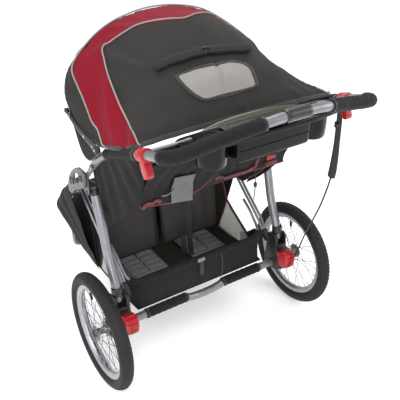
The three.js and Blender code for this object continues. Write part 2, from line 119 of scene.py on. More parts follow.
def N(nt, kind, **kw):
    n = nt.nodes.new(kind)
    for k, v in kw.items():
        if k in n.inputs:
            n.inputs[k].default_value = v
        else:
            setattr(n, k, v)
    return n


def coords(nt):
    return N(nt, "ShaderNodeTexCoord").outputs["Object"]


def ramp(nt, fac, stops):
    r = N(nt, "ShaderNodeValToRGB")
    els = r.color_ramp.elements
    while len(els) < len(stops):
        els.new(0.5)
    for e, (p, c) in zip(els, stops):
        e.position = p
        e.color = c if len(c) == 4 else (*c, 1)
    nt.links.new(fac, r.inputs[0])
    return r.outputs[0]


def math_node(nt, op, a, b=None):
    n = N(nt, "ShaderNodeMath", operation=op)
    for i, v in enumerate((a, b)):
        if v is None:
            continue
        if isinstance(v, (int, float)):
            n.inputs[i].default_value = v
        else:
            nt.links.new(v, n.inputs[i])
    return n.outputs[0]


def bump(nt, bsdf, height, strength, dist, chain=None):
    b = N(nt, "ShaderNodeBump")
    b.inputs["Strength"].default_value = strength
    b.inputs["Distance"].default_value = dist
    nt.links.new(height, b.inputs["Height"])
    if chain is not None:
        nt.links.new(chain, b.inputs["Normal"])
    nt.links.new(b.outputs[0], bsdf.inputs["Normal"])
    return b.outputs[0]


def noise(nt, vec, scale, detail=4.0, rough=0.55, out="Fac"):
    n = N(nt, "ShaderNodeTexNoise")
    n.inputs["Scale"].default_value = scale
    n.inputs["Detail"].default_value = detail
    n.inputs["Roughness"].default_value = rough
    nt.links.new(vec, n.inputs["Vector"])
    return n.outputs[out]


def mixcol(nt, fac, a, b, blend="MIX"):
    n = N(nt, "ShaderNodeMix", data_type="RGBA", blend_type=blend)
    if isinstance(fac, (int, float)):
        n.inputs[0].default_value = fac
    else:
        nt.links.new(fac, n.inputs[0])
    for i, v in ((6, a), (7, b)):
        if isinstance(v, tuple):
            n.inputs[i].default_value = v
        else:
            nt.links.new(v, n.inputs[i])
    return n.outputs[2]


def woven(name, base, dark, light, rough=0.86, scale=900.0, sheen=0.25, strength=0.35, convex_pale=0.5, tint=None):
    """Plain-weave cloth: crossed threads by three diagonal-free wave pairs, slubs, soft dye variation and paler convex
    high spots.
    """
    m, nt, b = mat_new(name)
    v = coords(nt)
    sep = N(nt, "ShaderNodeSeparateXYZ")
    nt.links.new(v, sep.inputs[0])
    # two thread directions that stay crossed on walls, floors and roofs alike
    u = math_node(nt, "ADD", sep.outputs[0], math_node(nt, "MULTIPLY", sep.outputs[1], 0.72))
    w = math_node(nt, "ADD", sep.outputs[2], math_node(nt, "MULTIPLY", sep.outputs[1], 0.69))
    w = math_node(nt, "SUBTRACT", w, math_node(nt, "MULTIPLY", sep.outputs[0], 0.08))
    wa = math_node(nt, "SINE", math_node(nt, "MULTIPLY", u, scale * 2.2))
    wb = math_node(nt, "SINE", math_node(nt, "MULTIPLY", w, scale * 2.2))
    weave = math_node(nt, "MULTIPLY", wa, wb)
    big = noise(nt, v, 3.2, 3.0, 0.6)
    mid = noise(nt, v, 22.0, 5.0, 0.6)
    fine = noise(nt, v, 420.0, 2.0, 0.5)
    c1 = ramp(nt, big, [(0.3, dark), (0.7, base)])
    c2 = ramp(nt, mid, [(0.35, base), (0.75, light)])
    col = mixcol(nt, 0.45, c1, c2)
    thread = math_node(nt, "MULTIPLY", math_node(nt, "ADD", weave, 1.0), 0.5)
    col = mixcol(nt, math_node(nt, "MULTIPLY", thread, 0.35), col, light)
    col = mixcol(nt, math_node(nt, "MULTIPLY", fine, 0.30), col, dark)
    # paler on convex high spots, by pointiness
    geo = N(nt, "ShaderNodeNewGeometry")
    edge = math_node(nt, "MULTIPLY", math_node(nt, "SUBTRACT", geo.outputs["Pointiness"], 0.53), 5.0 * convex_pale)
    clamp = N(nt, "ShaderNodeClamp")
    nt.links.new(edge, clamp.inputs[0])
    col = mixcol(nt, clamp.outputs[0], col, light)
    nt.links.new(col, b.inputs["Base Color"])
    rg = math_node(nt, "ADD", math_node(nt, "MULTIPLY", mid, 0.16), rough - 0.08)
    nt.links.new(rg, b.inputs["Roughness"])
    b.inputs["Sheen Weight"].default_value = sheen * 0.12
    b.inputs["Sheen Roughness"].default_value = 0.5
    b.inputs["Sheen Tint"].default_value = tint or (0.8, 0.8, 0.8, 1)
    b.inputs["Specular IOR Level"].default_value = 0.16
    h = math_node(nt, "ADD", math_node(nt, "MULTIPLY", weave, 0.5), math_node(nt, "MULTIPLY", fine, 0.6))
    n1 = bump(nt, b, h, strength, 0.0004)
    bump(nt, b, noise(nt, v, 38.0, 4.0, 0.6), 0.22, 0.004, n1)
    return m


def plastic(name, base, rough=0.5, grain=0.25, grain_scale=900.0, spec=0.5, coat=0.0, var=0.25, edge=None, metal=0.0):
    """Moulded plastic or painted metal: fine spark-eroded grain, faint flow variation, convex edges mixed toward a
    paler colour.
    """
    m, nt, b = mat_new(name)
    v = coords(nt)
    big = noise(nt, v, 9.0, 4.0, 0.6)
    dk = tuple(x * (1 - var) for x in base[:3]) + (1,)
    lt = tuple(min(1, x * (1 + var)) for x in base[:3]) + (1,)
    col = ramp(nt, big, [(0.3, dk), (0.7, lt)])
    geo = N(nt, "ShaderNodeNewGeometry")
    e = math_node(nt, "MULTIPLY", math_node(nt, "SUBTRACT", geo.outputs["Pointiness"], 0.56), 4.0)
    clamp = N(nt, "ShaderNodeClamp")
    nt.links.new(e, clamp.inputs[0])
    hi = edge or tuple(min(1, x * 1.9 + 0.02) for x in base[:3]) + (1,)
    col = mixcol(nt, math_node(nt, "MULTIPLY", clamp.outputs[0], 0.6), col, hi)
    nt.links.new(col, b.inputs["Base Color"])
    sm = noise(nt, v, 60.0, 5.0, 0.65)
    nt.links.new(math_node(nt, "ADD", math_node(nt, "MULTIPLY", sm, 0.18), rough - 0.09), b.inputs["Roughness"])
    b.inputs["Metallic"].default_value = metal
    b.inputs["Specular IOR Level"].default_value = spec
    b.inputs["Coat Weight"].default_value = coat
    b.inputs["Coat Roughness"].default_value = 0.12
    vor = N(nt, "ShaderNodeTexVoronoi")
    vor.inputs["Scale"].default_value = grain_scale
    nt.links.new(v, vor.inputs["Vector"])
    n1 = bump(nt, b, vor.outputs["Distance"], grain, 0.0003)
    bump(nt, b, noise(nt, v, 14.0, 2.0, 0.5), 0.05, 0.002, n1)
    return m


def metal(name, base, rough, streak=0.5, axis_scale=(40, 40, 900), metallic=1.0, coat=0.0):
    """Drawn, polished or silver-painted metal: fine directional streaks, smudges, tiny scratches."""
    m, nt, b = mat_new(name)
    v = coords(nt)
    mp = N(nt, "ShaderNodeMapping")
    mp.inputs["Scale"].default_value = axis_scale
    nt.links.new(v, mp.inputs["Vector"])
    st = noise(nt, mp.outputs[0], 1.0, 6.0, 0.7)
    smudge = noise(nt, v, 26.0, 5.0, 0.6)
    dk = tuple(x * 0.82 for x in base[:3]) + (1,)
    lt = tuple(min(1, x * 1.1) for x in base[:3]) + (1,)
    col = ramp(nt, smudge, [(0.3, dk), (0.65, lt)])
    col = mixcol(nt, math_node(nt, "MULTIPLY", st, 0.25), col, dk)
    nt.links.new(col, b.inputs["Base Color"])
    r = math_node(nt, "ADD", math_node(nt, "MULTIPLY", st, 0.14 * streak), rough - 0.05)
    r = math_node(nt, "ADD", r, math_node(nt, "MULTIPLY", smudge, 0.08))
    nt.links.new(r, b.inputs["Roughness"])
    b.inputs["Metallic"].default_value = metallic
    b.inputs["Coat Weight"].default_value = coat
    b.inputs["Coat Roughness"].default_value = 0.15
    bump(nt, b, st, 0.08 * streak, 0.0004)
    return m


def foam_mat(name):
    m, nt, b = mat_new(name)
    v = coords(nt)
    vor = N(nt, "ShaderNodeTexVoronoi")
    vor.inputs["Scale"].default_value = 620.0
    nt.links.new(v, vor.inputs["Vector"])
    big = noise(nt, v, 30.0, 4.0, 0.6)
    col = ramp(nt, big, [(0.3, lin((7, 7, 8))), (0.7, lin((13, 13, 14)))])
    col = mixcol(nt, math_node(nt, "MULTIPLY", vor.outputs["Distance"], 0.5), lin((12, 12, 13)), col)
    nt.links.new(col, b.inputs["Base Color"])
    b.inputs["Roughness"].default_value = 0.62
    b.inputs["Sheen Weight"].default_value = 0.02
    b.inputs["Specular IOR Level"].default_value = 0.18
    b.inputs["Sheen Roughness"].default_value = 0.6
    n1 = bump(nt, b, vor.outputs["Distance"], 0.7, 0.0008)
    bump(nt, b, noise(nt, v, 90.0, 3.0, 0.6), 0.25, 0.001, n1)
    return m


def rubber_mat(name):
    m, nt, b = mat_new(name)
    v = coords(nt)
    big = noise(nt, v, 12.0, 6.0, 0.65)
    dust = noise(nt, v, 70.0, 6.0, 0.7)
    col = ramp(nt, big, [(0.35, lin((17, 17, 18))), (0.75, lin((26, 26, 27)))])
    geo = N(nt, "ShaderNodeNewGeometry")
    e = math_node(nt, "MULTIPLY", math_node(nt, "SUBTRACT", geo.outputs["Pointiness"], 0.52), 6.0)
    clamp = N(nt, "ShaderNodeClamp")
    nt.links.new(e, clamp.inputs[0])
    col = mixcol(nt, math_node(nt, "MULTIPLY", clamp.outputs[0], 0.5), col, lin((48, 47, 46)))
    col = mixcol(nt, math_node(nt, "MULTIPLY", dust, 0.12), col, lin((52, 50, 47)))
    nt.links.new(col, b.inputs["Base Color"])
    nt.links.new(math_node(nt, "ADD", math_node(nt, "MULTIPLY", dust, 0.3), 0.52), b.inputs["Roughness"])
    b.inputs["Specular IOR Level"].default_value = 0.28
    n1 = bump(nt, b, noise(nt, v, 700.0, 2.0, 0.5), 0.2, 0.0004)
    bump(nt, b, noise(nt, v, 60.0, 4.0, 0.6), 0.1, 0.001, n1)
    return m


def web_mat(name, base, light, scale=700.0):
    """Ribbed nylon webbing with a herringbone bump."""
    m, nt, b = mat_new(name)
    v = coords(nt)
    sep = N(nt, "ShaderNodeSeparateXYZ")
    nt.links.new(v, sep.inputs[0])
    u = math_node(nt, "ADD", math_node(nt, "ADD", sep.outputs[0], sep.outputs[1]), sep.outputs[2])
    w = math_node(nt, "SUBTRACT", sep.outputs[2], math_node(nt, "ADD", sep.outputs[0], sep.outputs[1]))
    a = math_node(nt, "SINE", math_node(nt, "MULTIPLY", u, scale * 3.0))
    c = math_node(nt, "SINE", math_node(nt, "MULTIPLY", w, scale * 3.0))
    k = math_node(nt, "MAXIMUM", a, c)
    n = noise(nt, v, 45.0, 4.0, 0.6)
    col = mixcol(nt, math_node(nt, "MULTIPLY", math_node(nt, "ADD", k, 1.0), 0.25), base, light)
    col = mixcol(nt, math_node(nt, "MULTIPLY", n, 0.4), col, base)
    nt.links.new(col, b.inputs["Base Color"])
    b.inputs["Roughness"].default_value = 0.72
    b.inputs["Sheen Weight"].default_value = 0.15
    bump(nt, b, k, 0.5, 0.0005)
    return m


def net_mat(name, base, dark, scale=520.0, alpha=0.0):
    """Open knitted netting: hexagonal-looking cells by crossed waves, darker in the holes."""
    m, nt, b = mat_new(name)
    v = coords(nt)
    sep = N(nt, "ShaderNodeSeparateXYZ")
    nt.links.new(v, sep.inputs[0])
    u = math_node(nt, "ADD", sep.outputs[0], math_node(nt, "MULTIPLY", sep.outputs[1], 0.75))
    w = math_node(nt, "ADD", sep.outputs[2], math_node(nt, "MULTIPLY", sep.outputs[1], 0.7))
    a = math_node(nt, "ABSOLUTE", math_node(nt, "SINE", math_node(nt, "MULTIPLY", u, scale * 2.2)))
    c = math_node(nt, "ABSOLUTE", math_node(nt, "SINE", math_node(nt, "MULTIPLY", w, scale * 2.2)))
    hole = math_node(nt, "MULTIPLY", a, c)
    n = noise(nt, v, 8.0, 4.0, 0.6)
    body = ramp(nt, n, [(0.3, tuple(x * 0.88 for x in base[:3]) + (1,)), (0.7, base)])
    col = mixcol(nt, math_node(nt, "MULTIPLY", hole, 0.14), body, dark)
    nt.links.new(col, b.inputs["Base Color"])
    b.inputs["Roughness"].default_value = 0.75
    b.inputs["Sheen Weight"].default_value = 0.2
    inv = math_node(nt, "SUBTRACT", 1.0, hole)
    bump(nt, b, inv, 0.12, 0.0003)
    return m


M = {
    "canopy": woven("canopy_cloth", lin((39, 38, 36)), lin((32, 31, 30)), lin((51, 49, 47)), 0.84, 900, 0.35, 0.35, 0.5, (0.75, 0.75, 0.74, 1)),
    "red": woven("red_cloth", lin((112, 4, 26)), lin((96, 3, 20)), lin((128, 9, 34)), 0.8, 900, 0.35, 0.3, 0.3, (1.0, 0.6, 0.65, 1)),
    "black": woven("black_cloth", lin((27, 26, 26)), lin((19, 19, 19)), lin((41, 40, 40)), 0.88, 800, 0.3, 0.4, 0.6, (0.7, 0.7, 0.7, 1)),
    "dark": woven("lining_cloth", lin((20, 20, 20)), lin((12, 12, 12)), lin((30, 30, 30)), 0.92, 700, 0.15, 0.4, 0.5),
    "olive": woven("footwell_cloth", lin((42, 41, 36)), lin((31, 31, 27)), lin((55, 54, 48)), 0.85, 700, 0.25, 0.4, 0.5),
    # pale grey netting: painted light of the bright backdrop seen through the window mesh
    "net": net_mat("window_netting_painted_backlight", lin((128, 125, 120)), lin((92, 90, 86))),
    "net_dark": net_mat("dark_netting", lin((60, 60, 60)), lin((20, 20, 20)), 380.0),
    "piping": woven("grey_piping", lin((132, 128, 124)), lin((108, 105, 102)), lin((156, 153, 149)), 0.55, 1500, 0.2, 0.5, 0.2),
    "binding": web_mat("black_binding", lin((18, 18, 19)), lin((36, 36, 37)), 900),
    "red_binding": web_mat("red_binding", lin((78, 5, 18)), lin((108, 12, 28)), 900),
    "webbing": web_mat("webbing", lin((16, 16, 17)), lin((38, 38, 39)), 560),
    "stitch": web_mat("thread", lin((20, 20, 21)), lin((60, 60, 60)), 2200),
    "stitch_light": web_mat("thread_light", lin((58, 57, 56)), lin((84, 83, 82)), 2200),
    # grey cloth much paler than the black: painted light on the calf panels, which sit in shade under the seats
    "charcoal": woven("underside_cloth_painted_light", lin((76, 74, 71)), lin((60, 58, 56)), lin((94, 91, 88)), 0.8, 700, 0.3, 0.4, 0.5),
    "silver": metal("silver_tube", lin((128, 130, 134)), 0.36, 0.5, (60, 60, 420), 0.72, 0.2),
    "steel": metal("steel", lin((158, 159, 162)), 0.26, 0.6, (300, 300, 300)),
    "zinc": metal("zinc_plate", lin((112, 113, 116)), 0.42, 0.8, (200, 900, 200)),
    "spoke": metal("spoke_wire", lin((140, 141, 144)), 0.25, 0.3, (200, 200, 200)),
    "rim": metal("anodised_rim", lin((160, 162, 166)), 0.3, 0.5, (500, 40, 40)),
    "foam": foam_mat("foam_grip"),
    "rubber": rubber_mat("tyre_rubber"),
    "plastic": plastic("black_plastic", lin((20, 20, 22)), 0.42, 0.3, 900, 0.5),
    "satin": plastic("satin_black_sleeve", lin((26, 26, 29)), 0.3, 0.12, 900, 0.5, 0.3),
    "taupe": plastic("grey_plastic", lin((78, 73, 69)), 0.42, 0.25, 900, 0.5, 0.1, 0.12, lin((112, 106, 100))),
    "smoke": plastic("smoke_plastic", lin((12, 13, 9)), 0.2, 0.05, 700, 0.16, 0.05, 0.08, lin((30, 31, 25))),
    # paler, glossier copy of the smoke plastic: painted reflection, used on the tops of the tray hood and lid
    "smoke_olive": plastic("smoke_plastic_painted_reflection", lin((58, 58, 46)), 0.16, 0.05, 700, 0.45, 0.2, 0.1, lin((92, 92, 78))),
    "smoke_dark": plastic("smoke_plastic_dark", lin((9, 9, 8)), 0.24, 0.08, 700, 0.14, 0.03, 0.1, lin((20, 20, 18))),
    "redp": plastic("red_plastic", lin((158, 6, 20)), 0.3, 0.08, 900, 0.5, 0.2, 0.08, lin((184, 24, 38))),
    "redp_dark": plastic("dark_red_plastic", lin((132, 8, 20)), 0.38, 0.12, 900, 0.5, 0.1, 0.1, lin((220, 60, 70))),
    "plate": plastic("footplate_plastic", lin((116, 118, 121)), 0.42, 0.4, 500, 0.5, 0.0, 0.18, lin((158, 160, 163))),
    "pad": woven("seat_cloth", lin((32, 31, 31)), lin((23, 23, 23)), lin((46, 45, 44)), 0.9, 620, 0.3, 0.5, 0.6),
    "label": woven("label_tape", lin((98, 97, 98)), lin((74, 73, 74)), lin((124, 122, 122)), 0.7, 1400, 0.1, 0.3, 0.3),
}


# ------------------------------------------------------------------ mesh tools
def link(o):
    bpy.context.scene.collection.objects.link(o)
    return o


def mesh_obj(name, verts, faces, mats, smooth=True, face_mats=None, auto=None):
    me = bpy.data.meshes.new(name)
    me.from_pydata([tuple(v) for v in verts], [], faces)
    me.update()
    o = link(bpy.data.objects.new(name, me))
    for m in mats if isinstance(mats, (list, tuple)) else [mats]:
        me.materials.append(M[m] if isinstance(m, str) else m)
    if face_mats is not None:
        me.polygons.foreach_set("material_index", np.array(face_mats, dtype=np.int32))
    if smooth:
        me.polygons.foreach_set("use_smooth", np.ones(len(me.polygons), dtype=bool))
    if auto is not None:
        sharp(o, auto)
    return o


def sharp(o, deg):
    """Marks edges over an angle as sharp, so that they shade as real corners."""
    bm = bmesh.new()
    bm.from_mesh(o.data)
    lim = math.radians(deg)
    for e in bm.edges:
        if len(e.link_faces) == 2 and e.calc_face_angle(0) > lim:
            e.smooth = False
    bm.to_mesh(o.data)
    bm.free()


def modify(o, kind, **kw):
    m = o.modifiers.new(kind.lower(), kind)
    for k, v in kw.items():
        setattr(m, k, v)
    return m


def bake(o):
    """Applies every modifier, so that what follows works on the final mesh."""
    dg = bpy.context.evaluated_depsgraph_get()
    me = bpy.data.meshes.new_from_object(o.evaluated_get(dg), preserve_all_data_layers=True, depsgraph=dg)
    o.modifiers.clear()
    o.data = me
    return o


def merge(name, objs):
    """Joins objects into one mesh, keeping each one's materials."""
    verts, faces, fm, mats, smooth, sharp_e = [], [], [], [], [], []
    for o in objs:
        if o.modifiers:
            bake(o)
        base = len(verts)
        remap = []
        for mt in o.data.materials:
            if mt not in mats:
                mats.append(mt)
            remap.append(mats.index(mt))
        mw = o.matrix_world
        verts.extend([tuple(mw @ v.co) for v in o.data.vertices])
        for p in o.data.polygons:
            faces.append([base + i for i in p.vertices])
            fm.append(remap[p.material_index] if remap else 0)
            smooth.append(p.use_smooth)
        attr = o.data.attributes.get("sharp_edge")
        if attr:
            vals = np.zeros(len(o.data.edges), dtype=bool)
            attr.data.foreach_get("value", vals)
            for e, s in zip(o.data.edges, vals):
                if s:
                    sharp_e.append((base + e.vertices[0], base + e.vertices[1]))
    me = bpy.data.meshes.new(name)
    me.from_pydata(verts, [], faces)
    me.update()
    for mt in mats:
        me.materials.append(mt)
    me.polygons.foreach_set("material_index", np.array(fm, dtype=np.int32))
    me.polygons.foreach_set("use_smooth", np.array(smooth, dtype=bool))
    if sharp_e:
        keys = {tuple(sorted(e.vertices)): e.index for e in me.edges}
        vals = np.zeros(len(me.edges), dtype=bool)
        for a, b in sharp_e:
            k = keys.get((min(a, b), max(a, b)))
            if k is not None:
                vals[k] = True
        at = me.attributes.get("sharp_edge") or me.attributes.new("sharp_edge", "BOOLEAN", "EDGE")
        at.data.foreach_set("value", vals)
    for o in objs:
        bpy.data.objects.remove(o)
    return link(bpy.data.objects.new(name, me))


def smooth_path(pts, n, closed=False):
    """n points, evenly spaced by length, on a centripetal-like Catmull-Rom through pts (k columns)."""
    p = np.asarray(pts, float)
    if closed:
        p = np.vstack([p[-1:], p, p[:2]])
    else:
        p = np.vstack([2 * p[0] - p[1], p, 2 * p[-1] - p[-2]])
    out = []
    for i in range(1, len(p) - 2):
        p0, p1, p2, p3 = p[i - 1], p[i], p[i + 1], p[i + 2]
        d = [max(np.linalg.norm(b - a), 1e-9) ** 0.5 for a, b in ((p0, p1), (p1, p2), (p2, p3))]
        t0, t1 = 0, d[0]
        t2, t3 = t1 + d[1], t1 + d[1] + d[2]
        for t in np.linspace(t1, t2, 24, endpoint=False):
            a1 = (t1 - t) / (t1 - t0) * p0 + (t - t0) / (t1 - t0) * p1
            a2 = (t2 - t) / (t2 - t1) * p1 + (t - t1) / (t2 - t1) * p2
            a3 = (t3 - t) / (t3 - t2) * p2 + (t - t2) / (t3 - t2) * p3
            b1 = (t2 - t) / (t2 - t0) * a1 + (t - t0) / (t2 - t0) * a2
            b2 = (t3 - t) / (t3 - t1) * a2 + (t - t1) / (t3 - t1) * a3
            out.append((t2 - t) / (t2 - t1) * b1 + (t - t1) / (t2 - t1) * b2)
    out.append(p[-2])
    out = np.array(out)
    k = min(3, out.shape[1])
    seg = np.linalg.norm(np.diff(out[:, :k], axis=0), axis=1)
    s = np.concatenate([[0], np.cumsum(seg)])
    at = np.linspace(0, s[-1], n + 1)[:-1] if closed else np.linspace(0, s[-1], n)
    return np.stack([np.interp(at, s, out[:, c]) for c in range(out.shape[1])], axis=1)


def frames(path, up=(0, 0, 1), closed=False):
    """Tangent, side and normal along a path, carried without twist from a starting up direction."""
    p = np.asarray(path, float)
    t = np.gradient(p, axis=0)
    if closed:
        t = np.roll(p, -1, axis=0) - np.roll(p, 1, axis=0)
    t /= np.linalg.norm(t, axis=1)[:, None]
    u = np.array(up, float)
    if abs(np.dot(u, t[0])) > 0.95:
        u = np.array([1.0, 0, 0])
    ns = []
    n = u - np.dot(u, t[0]) * t[0]
    n /= np.linalg.norm(n)
    for i in range(len(p)):
        n = n - np.dot(n, t[i]) * t[i]
        n /= np.linalg.norm(n)
        ns.append(n.copy())
    n = np.array(ns)
    return t, np.cross(t, n), n


def sweep(name, path, radius, mat, n=20, flat=1.0, up=(0, 0, 1), cap=True, closed=False, section=None, fixed_up=False, roundcap=False):
    """A tube or section swept along a path given in metres. radius may vary along it."""
    p = np.asarray(path, float)
    t, sd, nm = frames(p, up, closed)
    if fixed_up:
        u = np.array(up, float)
        sd = np.cross(t, u)
        sd /= np.linalg.norm(sd, axis=1)[:, None]
        nm = np.cross(sd, t)
    r = np.full(len(p), radius, float) if np.isscalar(radius) else np.asarray(radius, float)
    if section is None:
        a = 2 * pi * np.arange(n) / n
        sec = np.stack([np.cos(a), np.sin(a) * flat], axis=1)
    else:
        sec = np.asarray(section, float)
    k = len(sec)
    rings = p[:, None, :] + r[:, None, None] * (sec[None, :, 0, None] * sd[:, None, :] + sec[None, :, 1, None] * nm[:, None, :])
    extra_f, extra_v = [], []
    if roundcap and not closed:
        heads = []
        for end in (0, -1):
            tt = -t[0] if end == 0 else t[-1]
            hs = []
            for q in (0.35, 0.7, 0.92):
                hs.append(p[end] + tt * r[end] * q + math.sqrt(1 - q * q) * (rings[end] - p[end]))
            heads.append(hs)
        rings = np.concatenate([np.array(heads[0][::-1]), rings, np.array(heads[1])])
    m = len(rings)
    verts = rings.reshape(-1, 3)
    faces = []
    for i in range(m if closed else m - 1):
        for j in range(k):
            a, b = i * k + j, i * k + (j + 1) % k
            c, d = ((i + 1) % m) * k + (j + 1) % k, ((i + 1) % m) * k + j
            faces.append([a, b, c, d])
    if cap and not closed:
        faces.append(list(range(k))[::-1])
        faces.append([(m - 1) * k + j for j in range(k)])
    o = mesh_obj(name, verts, faces, mat)
    fix_normals(o)
    if cap and not closed and not roundcap:
        sharp(o, 50)
    return o


def fix_normals(o):
    bm = bmesh.new()
    bm.from_mesh(o.data)
    bmesh.ops.recalc_face_normals(bm, faces=bm.faces)
    bm.to_mesh(o.data)
    bm.free()


def ribbon(name, path, width, thick, mat, normal, round_edge=0.35):
    """A strap: flat section of a width and thickness, its face turned to the given normals (one or per point)."""
    p = np.asarray(path, float)
    t = np.gradient(p, axis=0)
    t /= np.linalg.norm(t, axis=1)[:, None]
    nm = np.asarray(normal, float)
    if nm.ndim == 1:
        nm = np.repeat(nm[None], len(p), axis=0)
    sd = np.cross(t, nm)
    sd /= np.linalg.norm(sd, axis=1)[:, None]
    nm = np.cross(sd, t)
    w = np.full(len(p), width) if np.isscalar(width) else np.asarray(width, float)
    h, b = thick / 2, thick * round_edge
    ring = []
    for x, y in ((-1, -1), (-1, 1), (1, 1), (1, -1)):
        ring.append((x, y))
    rows = []
    for i in range(len(p)):
        hw = w[i] / 2
        pts = [(-hw, -h + b), (-hw, h - b), (-hw + b, h), (0, h), (hw - b, h), (hw, h - b), (hw, -h + b), (hw - b, -h), (0, -h), (-hw + b, -h)]
        rows.append([p[i] + a * sd[i] + c * nm[i] for a, c in pts])
    rows = np.array(rows)
    m, k = rows.shape[:2]
    faces = [[i * k + j, i * k + (j + 1) % k, (i + 1) * k + (j + 1) % k, (i + 1) * k + j] for i in range(m - 1) for j in range(k)]
    faces += [list(range(k))[::-1], [(m - 1) * k + j for j in range(k)]]
    o = mesh_obj(name, rows.reshape(-1, 3), faces, mat)
    fix_normals(o)
    sharp(o, 60)
    return o


def grid_faces(nr, nc, closed_c=False):
    return [[i * nc + j, i * nc + (j + 1) % nc, (i + 1) * nc + (j + 1) % nc, (i + 1) * nc + j]
            for i in range(nr - 1) for j in range(nc if closed_c else nc - 1)]


def sheet_obj(name, grid, mat, thick=0.0016, offset=-1.0, subdiv=0, mats=None, face_mats=None):
    g = np.asarray(grid, float)
    nr, nc = g.shape[:2]
    o = mesh_obj(name, g.reshape(-1, 3), grid_faces(nr, nc), mats or mat, face_mats=face_mats)
    if subdiv:
        modify(o, "SUBSURF", levels=subdiv, render_levels=subdiv)
    if thick:
        modify(o, "SOLIDIFY", thickness=thick, offset=offset, use_even_offset=False)
    return bake(o)


def lathe(name, profile, centre, axis, mat, n=48, closed=False, auto=35):
    """profile: [(along, radius)...] about an axis through centre (metres)."""
    ax = Vector(axis).normalized()
    u = ax.orthogonal().normalized()
    if abs(ax.x) > 0.9:
        u = Vector((0, 0, 1))
    w = ax.cross(u)
    verts, faces = [], []
    k = len(profile)
    for i in range(n):
        a = 2 * pi * i / n
        d = u * math.cos(a) + w * math.sin(a)
        for x, r in profile:
            verts.append(Vector(centre) + ax * x + d * r)
    rng_k = k if closed else k - 1
    for i in range(n):
        for j in range(rng_k):
            a, b = i * k + j, i * k + (j + 1) % k
            c, d = ((i + 1) % n) * k + (j + 1) % k, ((i + 1) % n) * k + j
            faces.append([a, b, c, d])
    if not closed:
        if profile[0][1] > 1e-6:
            faces.append([i * k for i in range(n)])
        if profile[-1][1] > 1e-6:
            faces.append([i * k + k - 1 for i in range(n)][::-1])
    o = mesh_obj(name, verts, faces, mat)
    bm = bmesh.new()
    bm.from_mesh(o.data)
    bmesh.ops.remove_doubles(bm, verts=bm.verts, dist=1e-6)
    bmesh.ops.recalc_face_normals(bm, faces=bm.faces)
    bm.to_mesh(o.data)
    bm.free()
    if auto:
        sharp(o, auto)
    return o


def slab(name, outline, x0, x1, mat, bevel=1.5, seg=3, holes=(), plane="yz"):
    """A plate with rounded edges: outline in (y, z) mm (or (x, y) with plane 'xy'), from x0 to x1 mm."""
    cu = bpy.data.curves.new(name, "CURVE")
    cu.dimensions = "2D"
    cu.fill_mode = "BOTH"
    cu.extrude = max(1e-5, abs(x1 - x0) / 2000.0 - bevel / 1000.0)
    cu.bevel_depth = bevel / 1000.0
    cu.bevel_resolution = seg
    cu.offset = -bevel / 1000.0
    for ring in [outline, *holes]:
        s = cu.splines.new("POLY")
        s.points.add(len(ring) - 1)
        for q, (a, b) in zip(s.points, ring):
            q.co = (a / 1000.0, b / 1000.0, 0, 1)
        s.use_cyclic_u = True
    tmp = link(bpy.data.objects.new(name + "_c", cu))
    dg = bpy.context.evaluated_depsgraph_get()
    me = bpy.data.meshes.new_from_object(tmp.evaluated_get(dg))
    bpy.data.objects.remove(tmp)
    mid = (x0 + x1) / 2000.0
    co = np.array([v.co for v in me.vertices], float)
    if plane == "yz":
        new = np.stack([co[:, 2] + mid, co[:, 0] + SHIFT / 1000.0, co[:, 1]], axis=1)
    elif plane == "xy":
        new = np.stack([co[:, 0], co[:, 1] + SHIFT / 1000.0, co[:, 2] + mid], axis=1)
    else:
        new = np.stack([co[:, 0], co[:, 2] + mid + SHIFT / 1000.0, co[:, 1]], axis=1)
    me.vertices.foreach_set("co", new.astype(np.float32).ravel())
    me.name = name
    me.materials.clear()
    me.materials.append(M[mat] if isinstance(mat, str) else mat)
    bm = bmesh.new()
    bm.from_mesh(me)
    bmesh.ops.remove_doubles(bm, verts=bm.verts, dist=1e-5)
    bmesh.ops.recalc_face_normals(bm, faces=bm.faces)
    bm.to_mesh(me)
    bm.free()
    me.polygons.foreach_set("use_smooth", np.ones(len(me.polygons), dtype=bool))
    o = link(bpy.data.objects.new(name, me))
    sharp(o, 32)
    return o


def rounded(outline, r=6.0, n=4):
    """Rounds the corners of a polygon given in mm."""
    p = np.asarray(outline, float)
    out = []
    for i in range(len(p)):
        a, b, c = p[i - 1], p[i], p[(i + 1) % len(p)]
        u, v = a - b, c - b
        lu, lv = np.linalg.norm(u), np.linalg.norm(v)
        d = min(r, lu * 0.45, lv * 0.45)
        s, e = b + u / lu * d, b + v / lv * d
        for t in np.linspace(0, 1, n + 1):
            out.append((1 - t) ** 2 * s + 2 * t * (1 - t) * b + t * t * e)
    return out


def circle(y, z, r, n=24):
    return [(y + r * math.cos(2 * pi * i / n), z + r * math.sin(2 * pi * i / n)) for i in range(n)]


def boxy(name, x0, x1, y0, y1, z0, z1, mat, bevel=2.0, seg=3, sub=0):
    """A block with rounded edges, mm."""
    lo, hi = P(min(x0, x1), min(y0, y1), min(z0, z1)), P(max(x0, x1), max(y0, y1), max(z0, z1))
    v = [(x, y, z) for x in (lo[0], hi[0]) for y in (lo[1], hi[1]) for z in (lo[2], hi[2])]
    f = [[0, 1, 3, 2], [4, 6, 7, 5], [0, 4, 5, 1], [2, 3, 7, 6], [0, 2, 6, 4], [1, 5, 7, 3]]
    o = mesh_obj(name, v, f, mat)
    fix_normals(o)
    modify(o, "BEVEL", width=bevel / 1000.0, segments=seg, limit_method="NONE")
    bake(o)
    sharp(o, 40)
    return o


